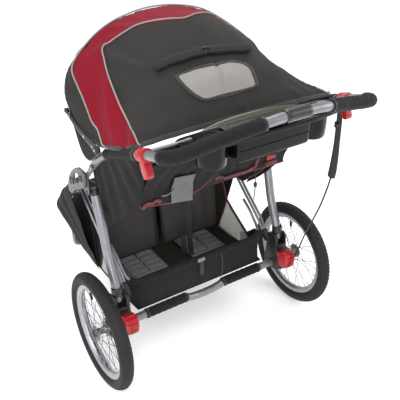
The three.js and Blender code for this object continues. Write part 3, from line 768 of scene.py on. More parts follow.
def blob(name, centre, radii, mat, n=20, power=2.0, axes=None):
    """A rounded lump (superellipsoid) in metres."""
    verts, faces = [], []
    c = np.asarray(centre, float)
    A = np.eye(3) if axes is None else np.asarray(axes, float)
    def sp(a, q):
        return math.copysign(abs(a) ** (2.0 / q), a)
    for i in range(n + 1):
        th = -pi / 2 + pi * i / n
        for j in range(2 * n):
            ph = 2 * pi * j / (2 * n)
            l = np.array([radii[0] * sp(math.cos(th), power) * sp(math.cos(ph), power),
                          radii[1] * sp(math.cos(th), power) * sp(math.sin(ph), power), radii[2] * sp(math.sin(th), power)])
            verts.append(c + A.T @ l)
    faces = grid_faces(n + 1, 2 * n, True)
    o = mesh_obj(name, verts, faces, mat)
    bm = bmesh.new()
    bm.from_mesh(o.data)
    bmesh.ops.remove_doubles(bm, verts=bm.verts, dist=1e-6)
    bmesh.ops.recalc_face_normals(bm, faces=bm.faces)
    bm.to_mesh(o.data)
    bm.free()
    return o


def stitches(name, path, normals, mat, pitch=0.0045, length=0.003, r=0.00045, lift=0.0003):
    """A row of thread stitches along a path on a surface, as small raised capsules in one mesh."""
    p = np.asarray(path, float)
    nm = np.asarray(normals, float)
    if nm.ndim == 1:
        nm = np.repeat(nm[None], len(p), axis=0)
    seg = np.linalg.norm(np.diff(p, axis=0), axis=1)
    s = np.concatenate([[0], np.cumsum(seg)])
    count = max(1, int(s[-1] / pitch))
    verts, faces = [], []
    for i in range(count):
        c0 = (i + 0.5) * pitch - length / 2
        ab = []
        for d in (c0, c0 + length):
            ab.append(np.array([np.interp(d, s, p[:, k]) for k in range(3)]))
        n = np.array([np.interp(c0, s, nm[:, k]) for k in range(3)])
        n /= np.linalg.norm(n)
        t = ab[1] - ab[0]
        L = np.linalg.norm(t)
        if L < 1e-7:
            continue
        t /= L
        sd = np.cross(t, n)
        base = len(verts)
        for f, rr in ((0, 0.35), (0.2, 1), (0.8, 1), (1, 0.35)):
            c = ab[0] * (1 - f) + ab[1] * f + n * lift
            for k in range(5):
                a = 2 * pi * k / 5
                verts.append(c + r * rr * (math.cos(a) * sd + math.sin(a) * n))
        for q in range(3):
            for k in range(5):
                faces.append([base + q * 5 + k, base + q * 5 + (k + 1) % 5, base + (q + 1) * 5 + (k + 1) % 5, base + (q + 1) * 5 + k])
        faces.append([base + k for k in range(5)][::-1])
        faces.append([base + 15 + k for k in range(5)])
    return mesh_obj(name, verts, faces, mat)


def done(o, body, slot=None, *nodes):
    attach(o, body)
    if nodes:
        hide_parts(*nodes)
    return o


# ------------------------------------------------------------------ wheels
def tyre(name, x, y, R, t, mat="rubber"):
    """Casing with a rounded section, shoulder lugs and a centre chevron tread, sidewall ribs and bead."""
    nseg, nsec = 360, 44
    cy, cz = y, R
    verts = []
    phis = np.linspace(-math.radians(152), math.radians(152), nsec)
    for i in range(nseg):
        th = 2 * pi * i / nseg
        for ph in phis:
            a = abs(ph)
            h = 0.0
            if a < 0.42:      # centre chevrons
                w = math.sin(th * 84 + a * 5.2)
                h = -1.3 * max(0.0, min(1.0, (w + 0.15) * 3.0)) if a > 0.05 else -0.25
            elif a < 1.05:    # shoulder blocks
                w = math.sin(th * 84 + 1.6 + (1 if ph > 0 else -1) * 0.9 + a * 1.6)
                h = -1.7 * max(0.0, min(1.0, (w + 0.1) * 3.0))
            if 0.42 <= a < 0.50:
                h = -1.5
            if 1.32 < a < 1.38 or 1.86 < a < 1.92:
                h += 0.55
            rr = t + h
            px = rr * math.sin(ph)
            pr = (R - t) + rr * math.cos(ph)
            if a > 2.2:
                px = math.copysign(max(abs(px), 9.8), ph)
            verts.append(P(x + px, cy + pr * math.cos(th), cz + pr * math.sin(th)))
    faces = []
    for i in range(nseg):
        k = (i + 1) % nseg
        for j in range(nsec):
            faces.append([i * nsec + j, i * nsec + (j + 1) % nsec, k * nsec + (j + 1) % nsec, k * nsec + j])
    o = mesh_obj(name, verts, faces, mat)
    fix_normals(o)
    sharp(o, 48)
    return o


def wheel(prefix, body, x, y, R, t, f, spokes, valve_deg, ring=False):
    out = 1 if x >= 0 else -1
    ty = tyre(f"{prefix}_tyre_moulded", x, y, R, t)
    done(ty, body, "tyre", f"{prefix}_tyre")
    Ri = R - t * 1.95 - 0.5
    c = P(x, y, R)
    mm = 0.001
    # double-wall rim: brake tracks, hooked edges, hollow well and spoke bed
    prof = [(-10.4, Ri + 5), (-12.2, Ri + 5.6), (-12.6, Ri + 3.5), (-11.8, Ri + 1.5), (-11.6, Ri - 6.5), (-10.0, Ri - 9.5), (-6.0, Ri - 14.2), (-3.0, Ri - 15.6),
            (3.0, Ri - 15.6), (6.0, Ri - 14.2), (10.0, Ri - 9.5), (11.6, Ri - 6.5), (11.8, Ri + 1.5), (12.6, Ri + 3.5), (12.2, Ri + 5.6),
            (10.4, Ri + 5), (9.6, Ri - 1), (4, Ri - 3), (-4, Ri - 3), (-9.6, Ri - 1)]
    rim = lathe(f"{prefix}_rim_alloy", [(a * mm, b * mm) for a, b in prof], c, (1, 0, 0), "rim", n=144, closed=True, auto=28)
    bits = [rim]
    # valve, with its cap
    va = math.radians(valve_deg)
    d = np.array([0, math.cos(va), math.sin(va)])
    q = c + d * (Ri - 15) * mm
    bits.append(sweep("v1", [q, q - d * 0.012], 0.0034, "steel", n=14))
    bits.append(sweep("v2", [q - d * 0.010, q - d * 0.030, q - d * 0.034], [0.0042, 0.0044, 0.003], "rubber", n=14))
    # nipples
    hub_parts = []
    Rs = (Ri - 15.4)
    for i in range(spokes):
        a = 2 * pi * i / spokes + 0.03
        side = 1 if i % 2 else -1
        turn = 1 if (i // 2) % 2 else -1
        b = a + turn * (1.02 if R > 180 else 0.9)
        rimp = c + np.array([side * 0.0012, Rs * mm * math.cos(a), Rs * mm * math.sin(a)])
        hubp = c + np.array([side * (f - 7.5) * mm, 0.0215 * math.cos(b), 0.0215 * math.sin(b)])
        dv = (hubp - rimp) / np.linalg.norm(hubp - rimp)
        hub_parts.append(sweep(f"sp{i}", [rimp, rimp + dv * 0.02, hubp - dv * 0.004, hubp], 0.00105, "spoke", n=6))
        bits.append(sweep(f"ni{i}", [rimp - dv * 0.001, rimp + dv * 0.009, rimp + dv * 0.011], [0.0019, 0.0019, 0.0012], "steel", n=8))
    rim = merge(f"{prefix}_rim_alloy_set", bits)
    done(rim, body, "rim", f"{prefix}_rim")
    # hub: flanges with spoke holes, waisted shell, dust cap and cone nut
    F = f * mm
    hp = [(-F, 0.0072), (-F, 0.0125), (-F + 0.005, 0.0132), (-F + 0.006, 0.026), (-F + 0.0074, 0.0268), (-F + 0.009, 0.026), (-F + 0.0105, 0.0145), (-F + 0.016, 0.0118), (0, 0.0108),
          (F - 0.016, 0.0118), (F - 0.0105, 0.0145), (F - 0.009, 0.026), (F - 0.0074, 0.0268), (F - 0.006, 0.026), (F - 0.005, 0.0132), (F, 0.0125), (F, 0.0072)]
    hub_parts.append(lathe("hub", hp, c, (1, 0, 0), "zinc" if ring else "rim", n=48, closed=True, auto=30))
    for s in (1, -1):
        hub_parts.append(lathe("cone", [(0, 0.0068), (0, 0.0108), (0.0025, 0.0112), (0.0035, 0.0098), (0.0035, 0.0068)], c + np.array([s * (F - 0.0005), 0, 0]), (s, 0, 0), "plastic", n=32, closed=True))
        for k in range(spokes // 2):
            a = 2 * pi * (2 * k + (0 if s > 0 else 1)) / spokes
            q = c + np.array([s * (F - 0.0058), 0.0215 * math.cos(a), 0.0215 * math.sin(a)])
            hub_parts.append(sweep("head", [q, q + np.array([s * 0.0016, 0, 0]), q + np.array([s * 0.0022, 0, 0])], [0.0019, 0.0019, 0.0008], "steel", n=8))
    if ring:
        s = out
        teeth = []
        for i in range(96):
            a = 2 * pi * i / 96
            g = (i % 12) / 12.0
            r = 36.0 if 0.24 < abs(g - 0.5) else (30.2 if abs(g - 0.5) < 0.17 else 33.5)
            teeth.append((y + r * math.cos(a + pi / 8), R + r * math.sin(a + pi / 8)))
        hub_parts.append(slab("ring", teeth, s * 365.2, s * 370.8, "plastic", bevel=0.5, seg=2, holes=[circle(y, R, 23.5, 40)]))
        hub_parts.append(lathe("web", [(0, 0.009), (0, 0.0245), (0.006, 0.0245), (0.0068, 0.022), (0.0068, 0.009)], P(s * 369.2, y, R), (s, 0, 0), "plastic", n=40, closed=True))
    hub = merge(f"{prefix}_hub_laced", hub_parts)
    done(hub, body, "rim", f"{prefix}_hub")


wheel("rear_left", "wheel_left", 400, 0, 200, 22, 26, 28, 117, True)
wheel("rear_right", "wheel_right", -400, 0, 200, 22, 26, 28, 98, True)
wheel("front", "front_wheel", 0, -640, 152, 20, 31, 20, 60)
for s, side in ((1, "left"), (-1, "right")):
    a = []
    a.append(sweep("ax", [P(s * 318, 0, 200), P(s * 429, 0, 200)], 0.006, "steel", n=20))
    a.append(lathe("cap", [(0, 0.0), (0, 0.0112), (0.0022, 0.0112), (0.0042, 0.0085), (0.005, 0.0)], P(s * 425.5, 0, 200), (s, 0, 0), "plastic", n=32))
    a.append(sweep("nut", [P(s * 352, 0, 200), P(s * 358, 0, 200)], 0.0098, "steel", n=6))
    done(merge(f"rear_axle_pin_{side}_turned", a), "rear_frame", "steel", f"rear_axle_pin_{side}")

# ------------------------------------------------------------------ frame tubes
frontHalf = [(330, -216, 629), (330, -284, 579), (329, -365, 519), (322, -430, 452), (306, -490, 396), (262, -552, 358), (190, -606, 346), (100, -642, 350), (0, -654, 354)]
mirror = lambda h: h + [(-x, y, z) for x, y, z in h[:-1][::-1]]
ft = smooth_path(PP(mirror(frontHalf)), 170)
bits = [sweep("ft", ft, 0.013, "silver", n=28)]
hd = P(0, -685, 0)
bits.append(lathe("head", [(0.322, 0.0112), (0.322, 0.0195), (0.3235, 0.021), (0.333, 0.021), (0.334, 0.0198), (0.384, 0.0198), (0.385, 0.021), (0.3945, 0.021), (0.396, 0.0195), (0.396, 0.0112)],
                  (0, hd[1], 0), (0, 0, 1), "silver", n=48, closed=True))
for s in (1, -1):
    bits.append(sweep("stud", [P(s * 288, -320, 552), P(s * 322, -320, 552)], 0.005, "steel", n=16))
    bits.append(lathe("studhead", [(0, 0), (0, 0.0075), (0.003, 0.0065), (0.004, 0)], P(s * 285.5, -320, 552), (-s, 0, 0), "steel", n=20))
o = merge("front_frame_tube", bits)
done(o, "front_frame", "tube", "front_frame")

rail = smooth_path(PP([(311, -393, 490), (296, -389, 492), (270, -374, 498), (190, -338, 504), (0, -326, 505), (-190, -338, 504), (-270, -374, 498), (-296, -389, 492), (-311, -393, 490)]), 80)
done(sweep("seat_rail_tube", rail, 0.0085, "silver", n=20), "front_frame", "tube", "seat_rail")
low = [(291, -478, 385), (285, -474, 340), (280, -474, 280), (278, -476, 240), (272, -478, 219), (254, -479, 213), (130, -480, 213), (0, -480, 213)]
done(sweep("footrest_tube", smooth_path(PP(mirror(low)), 120), 0.008, "silver", n=20), "front_frame", "tube", "footrest_frame")

legs = {}
for s, side in ((1, "left"), (-1, "right")):
    leg = smooth_path(PP([(s * 328, -9, 290), (s * 328, -14, 330), (s * 328, -32, 375), (s * 328, -58, 438), (s * 328, -80, 520), (s * 328, -100, 590), (s * 328, -116, 640)]), 60)
    rad = np.full(60, 0.015)
    o = [sweep("leg", leg, rad, "silver", n=28)]
    o.append(sweep("plug", [P(s * 328, -114, 632), P(s * 328, -118, 648), P(s * 328, -119, 652)], [0.0158, 0.0158, 0.012], "plastic", n=28))
    o.append(lathe("rivet", [(0, 0), (0, 0.006), (0.0015, 0.005), (0.0025, 0)], P(s * 343, -104, 606), (s, 0, 0), "steel", n=20))
    done(merge(f"rear_leg_{side}_tube", o), "rear_legs", "tube", f"rear_leg_{side}")
    # twin-rod fold link with its two eyes
    bits = []
    for x in (285.5, 298.8):
        x0 = 293.2 if x == 298.8 else 285.5
        rod = smooth_path(PP([(s * x0, -30, 308), (s * x0, -42, 320), (s * x, -66, 346), (s * x, -112, 386), (s * x, -157, 421), (s * x, -240, 490), (s * x, -316, 549)]), 60)
        bits.append(sweep("rod", rod, 0.005, "silver", n=14))
    bits.append(lathe("eye", [(0, 0.0055), (0, 0.0098), (0.022, 0.0098), (0.022, 0.0055)], P(s * 281, -320, 552), (s, 0, 0), "plastic", n=28, closed=True))
    bits.append(slab("lug", rounded([(-46, 300), (-16, 284), (-6, 292), (-22, 316), (-36, 328), (-48, 318)], 6), s * 281.2, s * 298.4, "plastic", bevel=1.5))
    done(merge(f"fold_link_{side}_rods", bits), "rear_frame", "tube", f"fold_link_{side}")
    # moulded axle bracket
    br = slab("br", rounded([(-34, 172), (34, 172), (42, 190), (38, 236), (22, 258), (20, 274), (-34, 274), (-36, 240), (-40, 200)], 9), s * 299.3, s * 349.6, "plastic", bevel=4, seg=4,
              holes=[circle(0, 200, 7.5, 24)])
    ck = [slab("ck", rounded([(-33, 266), (22, 266), (17, 312), (4, 317), (-22, 317), (-30, 308)], 9), s * a, s * b, "plastic", bevel=1.8)
          for a, b in ((299.3, 311.6), (344.6, 349.6))]
    ribs = [boxy("rib", s * 349, s * 351.5, -28 + 12 * k, -25 + 12 * k, 178, 262, "plastic", bevel=0.8, seg=2) for k in range(5) if k != 2]
    collar = lathe("col", [(0, 0.0152), (0, 0.0185), (0.026, 0.0185), (0.028, 0.017), (0.028, 0.0152)], P(s * 328, -10, 312), (0, -0.1, 1), "plastic", n=32, closed=True)
    pin = sweep("pin", [P(s * 299, -7, 300), P(s * 352, -7, 300)], 0.005, "steel", n=18)
    ph = lathe("ph", [(0, 0), (0, 0.0082), (0.0022, 0.0075), (0.0032, 0)], P(s * 350, -7, 300), (s, 0, 0), "steel", n=24)
    done(merge(f"axle_bracket_{side}_moulded", [br, *ck, *ribs, pin, ph]), "rear_frame", "black_plastic", f"axle_bracket_{side}")
    done(merge(f"leg_collar_{side}", [collar]), "rear_legs", "black_plastic")
    # foot pedal: rounded paddle with grip ridges
    pd = [slab("pd", rounded([(14, 216), (30, 213), (50, 208), (64, 203), (74, 210), (73, 224), (62, 234), (36, 232), (18, 229)], 6), s * 309.5, s * 332.5, "redp", bevel=3, seg=4),
          slab("pw", rounded([(20, 224), (30, 207), (62, 202), (79, 208), (84, 232), (83, 252), (72, 264), (48, 266), (30, 258), (21, 242)], 9), s * 301, s * 343, "redp", bevel=4.5, seg=4)]
    for k in range(4):
        yy, zz = 83.6 + 0.3 * k, 216 + 11 * k
        pd.append(sweep("rd", [P(s * 309, yy, zz), P(s * 335, yy, zz)], 0.0014, "redp", n=8, roundcap=True))
    pd.append(sweep("hubp", [P(s * 308, 20, 221), P(s * 334, 20, 221)], 0.0088, "redp", n=24))
    pd.append(sweep("hubq", [P(s * 306, 20, 221), P(s * 337, 20, 221)], 0.0035, "steel", n=16))
    done(merge(f"brake_pedal_{side}_moulded", pd), f"brake_pedal_{side}", "red_plastic", f"brake_pedal_{side}")
    done(sweep(f"brake_pin_{side}_turned", [P(s * 345, 36, 200), P(s * 361, 36, 200), P(s * 363, 36, 200)], [0.003, 0.003, 0.0018], "steel", n=16), f"brake_pin_{side}", "steel", f"brake_pin_{side}")

# rear axle tube, silver in the middle; its black cloth sleeves towards both ends are swept with the basket
ax = smooth_path(PP([(298, 4, 197), (200, 4, 198), (105, 4, 198), (84, 3, 197), (58, 1, 188), (30, -1, 182), (0, -1, 181), (-30, -1, 182), (-58, 1, 188), (-84, 3, 197), (-105, 4, 198), (-200, 4, 198), (-298, 4, 197)]), 160)
done(sweep("rear_axle_cross_tube", ax, 0.014, "silver", n=28), "rear_frame", "tube", "rear_axle_tube")

hoop = smooth_path(PP([(274, -150, 402), (274, -112, 377), (274, -86, 352), (271, -60, 331), (262, -40, 320), (240, -24, 317), (120, -20, 316.5), (0, -20, 316.5), (-120, -20, 316.5), (-240, -24, 317), (-262, -40, 320),
                       (-271, -60, 331), (-274, -86, 352), (-274, -112, 377), (-274, -150, 402)]), 170)
done(sweep("basket_hoop_wire", hoop, 0.005, "silver", n=16), "rear_frame", "tube", "basket_hoop")

handleHalf = [(335, -92, 741), (335, -38, 791), (335, 20, 829), (335, 96, 864), (335, 155, 888), (335, 215, 910), (336, 270, 930), (334, 314, 944), (318, 344, 954), (285, 355, 961), (240, 362, 970),
              (195, 369, 979), (154, 380, 989), (104, 391, 1000), (52, 394, 1005), (0, 394, 1006)]
HP = smooth_path(PP(mirror(handleHalf)), 400)
done(sweep("handle_tube_bent", HP, 0.013, "silver", n=28), "handle_frame", "tube", "handle_tube")


def along(t0, t1, n):
    s = np.linspace(t0, t1, n) * (len(HP) - 1)
    return np.stack([np.interp(s, np.arange(len(HP)), HP[:, k]) for k in range(3)], axis=1)


for side, t0, t1 in (("left", 0.276, 0.443), ("right", 0.573, 0.724)):
    g = along(t0, t1, 90)
    r = np.full(90, 0.0187)
    r[:4] = [0.0158, 0.0172, 0.0182, 0.0187]
    r[-4:] = r[:4][::-1]
    kk = np.arange(90)
    r[4:-4] += 0.0006 * np.sin(kk[4:-4] * 0.9) * (0.6 + 0.4 * np.sin(kk[4:-4] * 0.23)) + 0.0004 * np.sin(kk[4:-4] * 2.1 + 1.0)
    body = sweep("g", g, r, "foam", n=36)
    ends = []
    for k, d in ((0, 1), (-1, -1)):
        e = g[k]
        ends.append(sweep("ge", [along(t0, t1, 90)[0 if k == 0 else -1], g[3 if k == 0 else -4]], 0.0182, "plastic", n=32))
    done(merge(f"grip_{side}_foam", [body, *ends]), "handle_frame", "foam", f"grip_{side}")
g = along(0.479, 0.526, 30)
r = np.full(30, 0.0172)
r[:2] = r[-2:] = 0.0155
sl = [sweep("c", g, r, "satin", n=36)]
for k in (4, 25):
    sl.append(sweep("cr", g[k:k + 2], 0.0176, "satin", n=36))
done(merge("grip_centre_sleeve_moulded", sl), "handle_frame", "black_plastic", "grip_centre_sleeve")

# ------------------------------------------------------------------ canopy surface
HALF = [
    [(326, 188, 916), (322, 186, 917), (300, 184, 916), (260, 181, 915), (180, 176, 913), (90, 172, 912), (0, 171, 912)],
    [(340, 162, 903), (328, 156, 916), (304, 150, 929), (262, 152, 934), (180, 153, 938), (90, 152, 940), (0, 152, 940)],
    [(346, 132, 890), (326, 120, 908), (298, 106, 936), (260, 112, 951), (180, 124, 961), (90, 129, 965), (0, 130, 966)],
    [(350, 94, 876), (322, 70, 912), (288, 44, 952), (248, 56, 978), (180, 78, 1000), (90, 91, 1010), (0, 95, 1013)],
    [(350, 62, 866), (317, 24, 912), (278, -8, 967), (236, 4, 998), (172, 26, 1026), (86, 40, 1039), (0, 45, 1042)],
    [(350, 30, 856), (315, -24, 922), (266, -78, 1001), (226, -68, 1031), (162, -50, 1060), (80, -36, 1075), (0, -31, 1079)],
    [(350, 0, 850), (308, -92, 936), (243, -178, 1044), (205, -188, 1064), (150, -166, 1094), (72, -132, 1114), (0, -112, 1118)],
    [(350, -42, 848), (324, -134, 938), (276, -218, 1016), (222, -236, 1056), (155, -230, 1092), (76, -210, 1112), (0, -200, 1119)],
    [(353, -90, 857), (340, -172, 936), (308, -238, 996), (240, -266, 1050), (165, -274, 1091), (80, -280, 1112), (0, -287, 1117)],
    [(355, -136, 866), (343, -200, 935), (308, -258, 988), (240, -284, 1040), (165, -296, 1078), (80, -309, 1098), (0, -315, 1104)],
    [(355, -180, 882), (344, -226, 936), (306, -276, 980), (240, -302, 1026), (165, -318, 1060), (80, -334, 1079), (0, -339, 1085)]]
CG = np.array([r + [(-x, y, z) for x, y, z in r[:-1][::-1]] for r in HALF], float)


def _cr(t, n):
    i = np.clip(np.floor(t).astype(int), 0, n - 2)
    f = t - i
    idx = np.stack([np.clip(i + k, 0, n - 1) for k in (-1, 0, 1, 2)], 1)
    w = np.stack([-0.5 * f + f ** 2 - 0.5 * f ** 3, 1 - 2.5 * f ** 2 + 1.5 * f ** 3, 0.5 * f + 2 * f ** 2 - 1.5 * f ** 3, -0.5 * f ** 2 + 0.5 * f ** 3], 1)
    # straight run-out past both ends
    lo, hi = i == 0, i == n - 2
    w[lo, 1] += 2 * w[lo, 0]; w[lo, 2] -= w[lo, 0]; w[lo, 0] = 0
    w[hi, 2] += 2 * w[hi, 3]; w[hi, 1] -= w[hi, 3]; w[hi, 3] = 0
    return idx, w


def S(uv):
    """The tensioned cover at (u, v): u 0 left foot to 12 right foot, v 0 rear hem to 10 front rim. Metres."""
    uv = np.asarray(uv, float)
    iu, wu = _cr(uv[:, 0], 13)
    iv, wv = _cr(uv[:, 1], 11)
    p = np.einsum("na,nb,nabk->nk", wv, wu, CG[iv[:, :, None], iu[:, None, :]])
    g = np.exp(-((uv[:, 0] - 10.0) / 1.5) ** 2 - ((uv[:, 1] - 4.2) / 2.6) ** 2)
    p = p + g[:, None] * np.array([13.0, 0.0, -17.0])
    p[:, 0] = np.clip(p[:, 0], -350.5, 350.5)
    return (p + np.array([0, SHIFT, 0])) / 1000.0


def Sn(uv):
    uv = np.asarray(uv, float)
    e = 0.04
    du = S(uv + [e, 0]) - S(uv - [e, 0])
    dv = S(uv + [0, e]) - S(uv - [0, e])
    n = np.cross(du, dv)
    n /= np.linalg.norm(n, axis=1)[:, None]
    n[n @ np.array([0, 0, 1.0]) < -0.35] *= -1
    return n


mir = lambda h: h + [(12 - u, v) for u, v in h[:-1][::-1]]
IN_SIDE = [(1.07, 0.0), (1.12, 0.15), (1.65, 1.0), (1.88, 2.23), (1.95, 4.03), (1.98, 5.0), (1.99, 5.55)]
IN_TOP = [(2.10, 5.90), (2.40, 6.0), (2.98, 6.03), (3.8, 6.08), (4.45, 6.25), (5.28, 6.18), (6.0, 6.08)]
OUT_HALF = [(0.0, 4.2), (0.12, 5.25), (0.38, 5.9), (0.50, 6.55), (0.80, 6.9), (1.33, 7.5), (2.02, 8.03), (3.2, 8.12), (4.6, 8.10), (6.0, 8.10)]


def uvcurve(pts, n):
    return smooth_path([(u, v, 0) for u, v in pts], n)[:, :2]


def crv3(uvs, lift):
    return S(uvs) + Sn(uvs) * lift


inner_uv = uvcurve(mir(IN_SIDE + IN_TOP), 420)
outer_uv = uvcurve(mir(OUT_HALF), 420)
from mathutils import kdtree, noise as mnoise
_seam = np.vstack([S(inner_uv), S(outer_uv)])
_skd = kdtree.KDTree(len(_seam))
for _i, _q in enumerate(_seam):
    _skd.insert(_q, _i)
_skd.balance()
_ss = np.concatenate([np.concatenate([[0], np.cumsum(np.linalg.norm(np.diff(S(c), axis=0), axis=1))]) for c in (inner_uv, outer_uv)])
RIDGES = [  # soft folds in the cloth: from, to in (u, v), width mm, height mm
    ((0.3, 0.4), (3.2, 3.2), 16, 4.0), ((0.4, 1.4), (2.6, 4.9), 14, -3.6), ((0.2, 3.0), (1.8, 5.6), 12, 4.2), ((0.3, 5.2), (1.5, 7.0), 11, -3.4),
    ((11.7, 0.4), (8.8, 3.2), 16, 4.0), ((11.6, 1.4), (9.4, 4.9), 14, -3.6), ((11.8, 3.0), (10.2, 5.6), 12, 4.2),
    ((5.95, 3.9), (5.75, 2.0), 7, -3.8), ((2.2, 6.1), (3.9, 4.2), 15, 3.5), ((9.8, 6.1), (8.2, 4.4), 15, 3.5), ((2.1, 8.0), (3.4, 9.8), 12, 3.0), ((9.9, 8.0), (8.6, 9.8), 12, 3.0),
    ((4.3, 6.3), (3.6, 8.0), 13, 2.6), ((7.6, 6.3), (8.4, 8.0), 13, 2.6), ((3.2, 0.2), (3.6, 1.8), 14, 2.8), ((8.6, 0.2), (8.2, 1.7), 13, 2.8), ((6.3, 0.1), (6.2, 1.4), 12, 2.2),
    ((1.0, 7.3), (1.6, 9.5), 9, -2.6), ((11.0, 7.3), (10.4, 9.5), 9, -2.6), ((5.2, 8.3), (5.4, 9.8), 12, 2.2)]
RD = []
for a, b, wd, ht in RIDGES:
    t = np.linspace(0, 1, 24)[:, None]
    RD.append((S(np.array(a) * (1 - t) + np.array(b) * t), wd / 1000.0, ht / 1000.0))


def cover(uvs, lift=0.0):
    """Cover with its folds, seam valleys and puckers, at an array of (u, v)."""
    p = S(uvs)
    n = Sn(uvs)
    h = np.zeros(len(p))
    for c, wd, ht in RD:
        d = np.linalg.norm(p[:, None, :] - c[None], axis=2)
        k = d.argmin(axis=1)
        dm = d[np.arange(len(p)), k]
        fade = np.sin(pi * np.clip(k / 23.0, 0, 1)) ** 0.7
        h += 1.6 * ht * fade * (np.exp(-(dm / wd) ** 2) - 0.45 * np.exp(-((dm - 2.0 * wd) / wd) ** 2))
    for i in range(len(p)):
        q = Vector(p[i])
        h[i] += 0.0046 * mnoise.noise(q * 7.0) + 0.0023 * mnoise.noise(Vector((q.x * 26, q.y * 13, q.z * 18))) + 0.0005 * mnoise.noise(q * 62.0)
        _, idx, d = _skd.find(q)
        s = _ss[idx]
        h[i] += -0.0011 * math.exp(-(d / 0.005) ** 2) + 0.0009 * math.sin(s * 2 * pi / 0.021 + 2.5 * mnoise.noise(Vector((s * 30, 0, 0)))) * math.exp(-d / 0.012)
    return p + n * (h + lift)[:, None]


UVG = np.array([(u, v) for v in np.linspace(0, 10, 81) for u in np.linspace(0, 12, 97)])
_g = S(UVG)
_ckd = kdtree.KDTree(len(_g))
for _i, _q in enumerate(_g):
    _ckd.insert(_q, _i)
_ckd.balance()


def rig(o, slot, *nodes):
    """Cover pieces ride the handle and follow the front bow by how far forward they sit."""
    done(o, "handle_frame", slot, *nodes)
    vg = o.vertex_groups.new(name="front_bow")
    sm = lambda t: t * t * (3 - 2 * t)
    buckets = {}
    for v in o.data.vertices:
        _, idx, _ = _ckd.find(v.co)
        u, vv = UVG[idx]
        v0 = 4.6 + (1.5 - 4.6) * sm(min(1.0, min(u, 12 - u) / 2.0))
        w = sm(min(1.0, max(0.0, (vv - v0) / (8.0 - v0))))
        buckets.setdefault(round(w, 3), []).append(v.index)
    for w, ids in buckets.items():
        if w > 0:
            vg.add(ids, w, "REPLACE")
    hk = o.modifiers.new("front_bow", "HOOK")
    hk.object = frame["bodies"]["canopy_front"]
    hk.vertex_group = "front_bow"
    hk.falloff_type = "NONE"
    hk.matrix_inverse = Matrix.Identity(4)
    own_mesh(o)
    return o


def patch(name, rows_uv, mat, thick=0.0015):
    """Panel from a grid of (u, v)."""
    g = np.asarray(rows_uv, float)
    nr, nc = g.shape[:2]
    return sheet_obj(name, cover(g.reshape(-1, 2)).reshape(nr, nc, 3), mat, thick=thick, offset=-1.0)


def lerp_rows(a, b, n):
    t = np.linspace(0, 1, n)[:, None, None]
    return a[None] * (1 - t) + b[None] * t


# rear panel: side seams left and right, hem below, front seam above (transfinite grid)
k_side, k_top = 96, 150
L_uv = uvcurve(IN_SIDE + [(2.04, 5.8)], k_side)
R_uv = np.stack([12 - L_uv[:, 0], L_uv[:, 1]], 1)
T_uv = uvcurve(mir([(2.04, 5.8)] + IN_TOP), k_top)
B_uv = np.stack([np.linspace(1.07, 10.93, k_top), np.zeros(k_top)], 1)
ss, tt = np.linspace(0, 1, k_top)[None, :, None], np.linspace(0, 1, k_side)[:, None, None]
rear_uv = ((1 - ss) * L_uv[:, None] + ss * R_uv[:, None] + (1 - tt) * B_uv[None] + tt * T_uv[None]
           - ((1 - ss) * (1 - tt) * L_uv[0] + ss * (1 - tt) * R_uv[0] + (1 - ss) * tt * L_uv[-1] + ss * tt * R_uv[-1]))
rear_panel = patch("canopy_rear_panel", rear_uv, "canopy")
# crimson band between the two pipings, from one foot over the top to the other
band_in = uvcurve(mir(IN_SIDE + IN_TOP), 300)
edge_out = [(0, 0), (0, 1.4), (0, 2.8)] + OUT_HALF
band_out = uvcurve(mir(edge_out), 300)
band = patch("canopy_band", lerp_rows(band_in, band_out, 26), "red")
# dark visor ahead of the outer piping
vis_in = uvcurve(mir(OUT_HALF), 280)
vis_out = uvcurve(mir([(0, 4.25), (0, 6.0), (0, 8.2), (0.05, 9.6), (0.35, 10), (1.2, 10), (2.4, 10), (4.0, 10), (6, 10)]), 280)
visor = patch("canopy_visor", lerp_rows(vis_in, vis_out, 34), "canopy")

trim = []
for c in (inner_uv, outer_uv):
    trim.append(sweep("pipe", crv3(c, 0.0034), 0.0024, "piping", n=12))
piping = merge("canopy_piping", trim)
st = []
for c, off in ((inner_uv, 0.07), (outer_uv, 0.07)):
    for sgn in (-1, 1):
        d = np.gradient(c, axis=0)
        nrm = np.stack([-d[:, 1], d[:, 0]], 1)
        nrm /= np.linalg.norm(nrm, axis=1)[:, None]
        # seven millimetres either side of the piping, in surface units
        cc = c + sgn * nrm * off * np.array([1.0, 2.2])
        cc[:, 0] = np.clip(cc[:, 0], 0.02, 11.98)
        pth = cover(cc[4:-4])
        st.append(stitches("st", pth, Sn(cc[4:-4]), "stitch", pitch=0.0052, length=0.0034, r=0.0005))
seam_stitches = merge("canopy_seam_stitches", st)

hem_uv = np.stack([np.linspace(0.0, 12.0, 260), np.full(260, 0.0)], 1)
def hem_strip(name, uvs, inward, mat, width=0.011, thick=0.0016):
    """A folded edge: a strip of cloth wrapped over the cover's edge, both faces."""
    p0 = cover(uvs)
    n0 = Sn(uvs)
    p1 = cover(uvs + inward)
    d = p1 - p0
    d /= np.linalg.norm(d, axis=1)[:, None]
    prof = [(width, 0.0009), (width - 0.001, 0.0016), (0.003, 0.0019), (0.0003, 0.0014), (-0.0014, -0.0004), (0.0002, -0.0024), (0.003, -0.0030), (width - 0.001, -0.0026), (width, -0.0019)]
    g = np.array([p0 + d * a + n0 * b for a, b in prof])
    o = mesh_obj(name, g.reshape(-1, 3), grid_faces(*g.shape[:2]), mat)
    fix_normals(o)
    return o, p0 + d * (width * 0.75) + n0 * 0.0018, n0


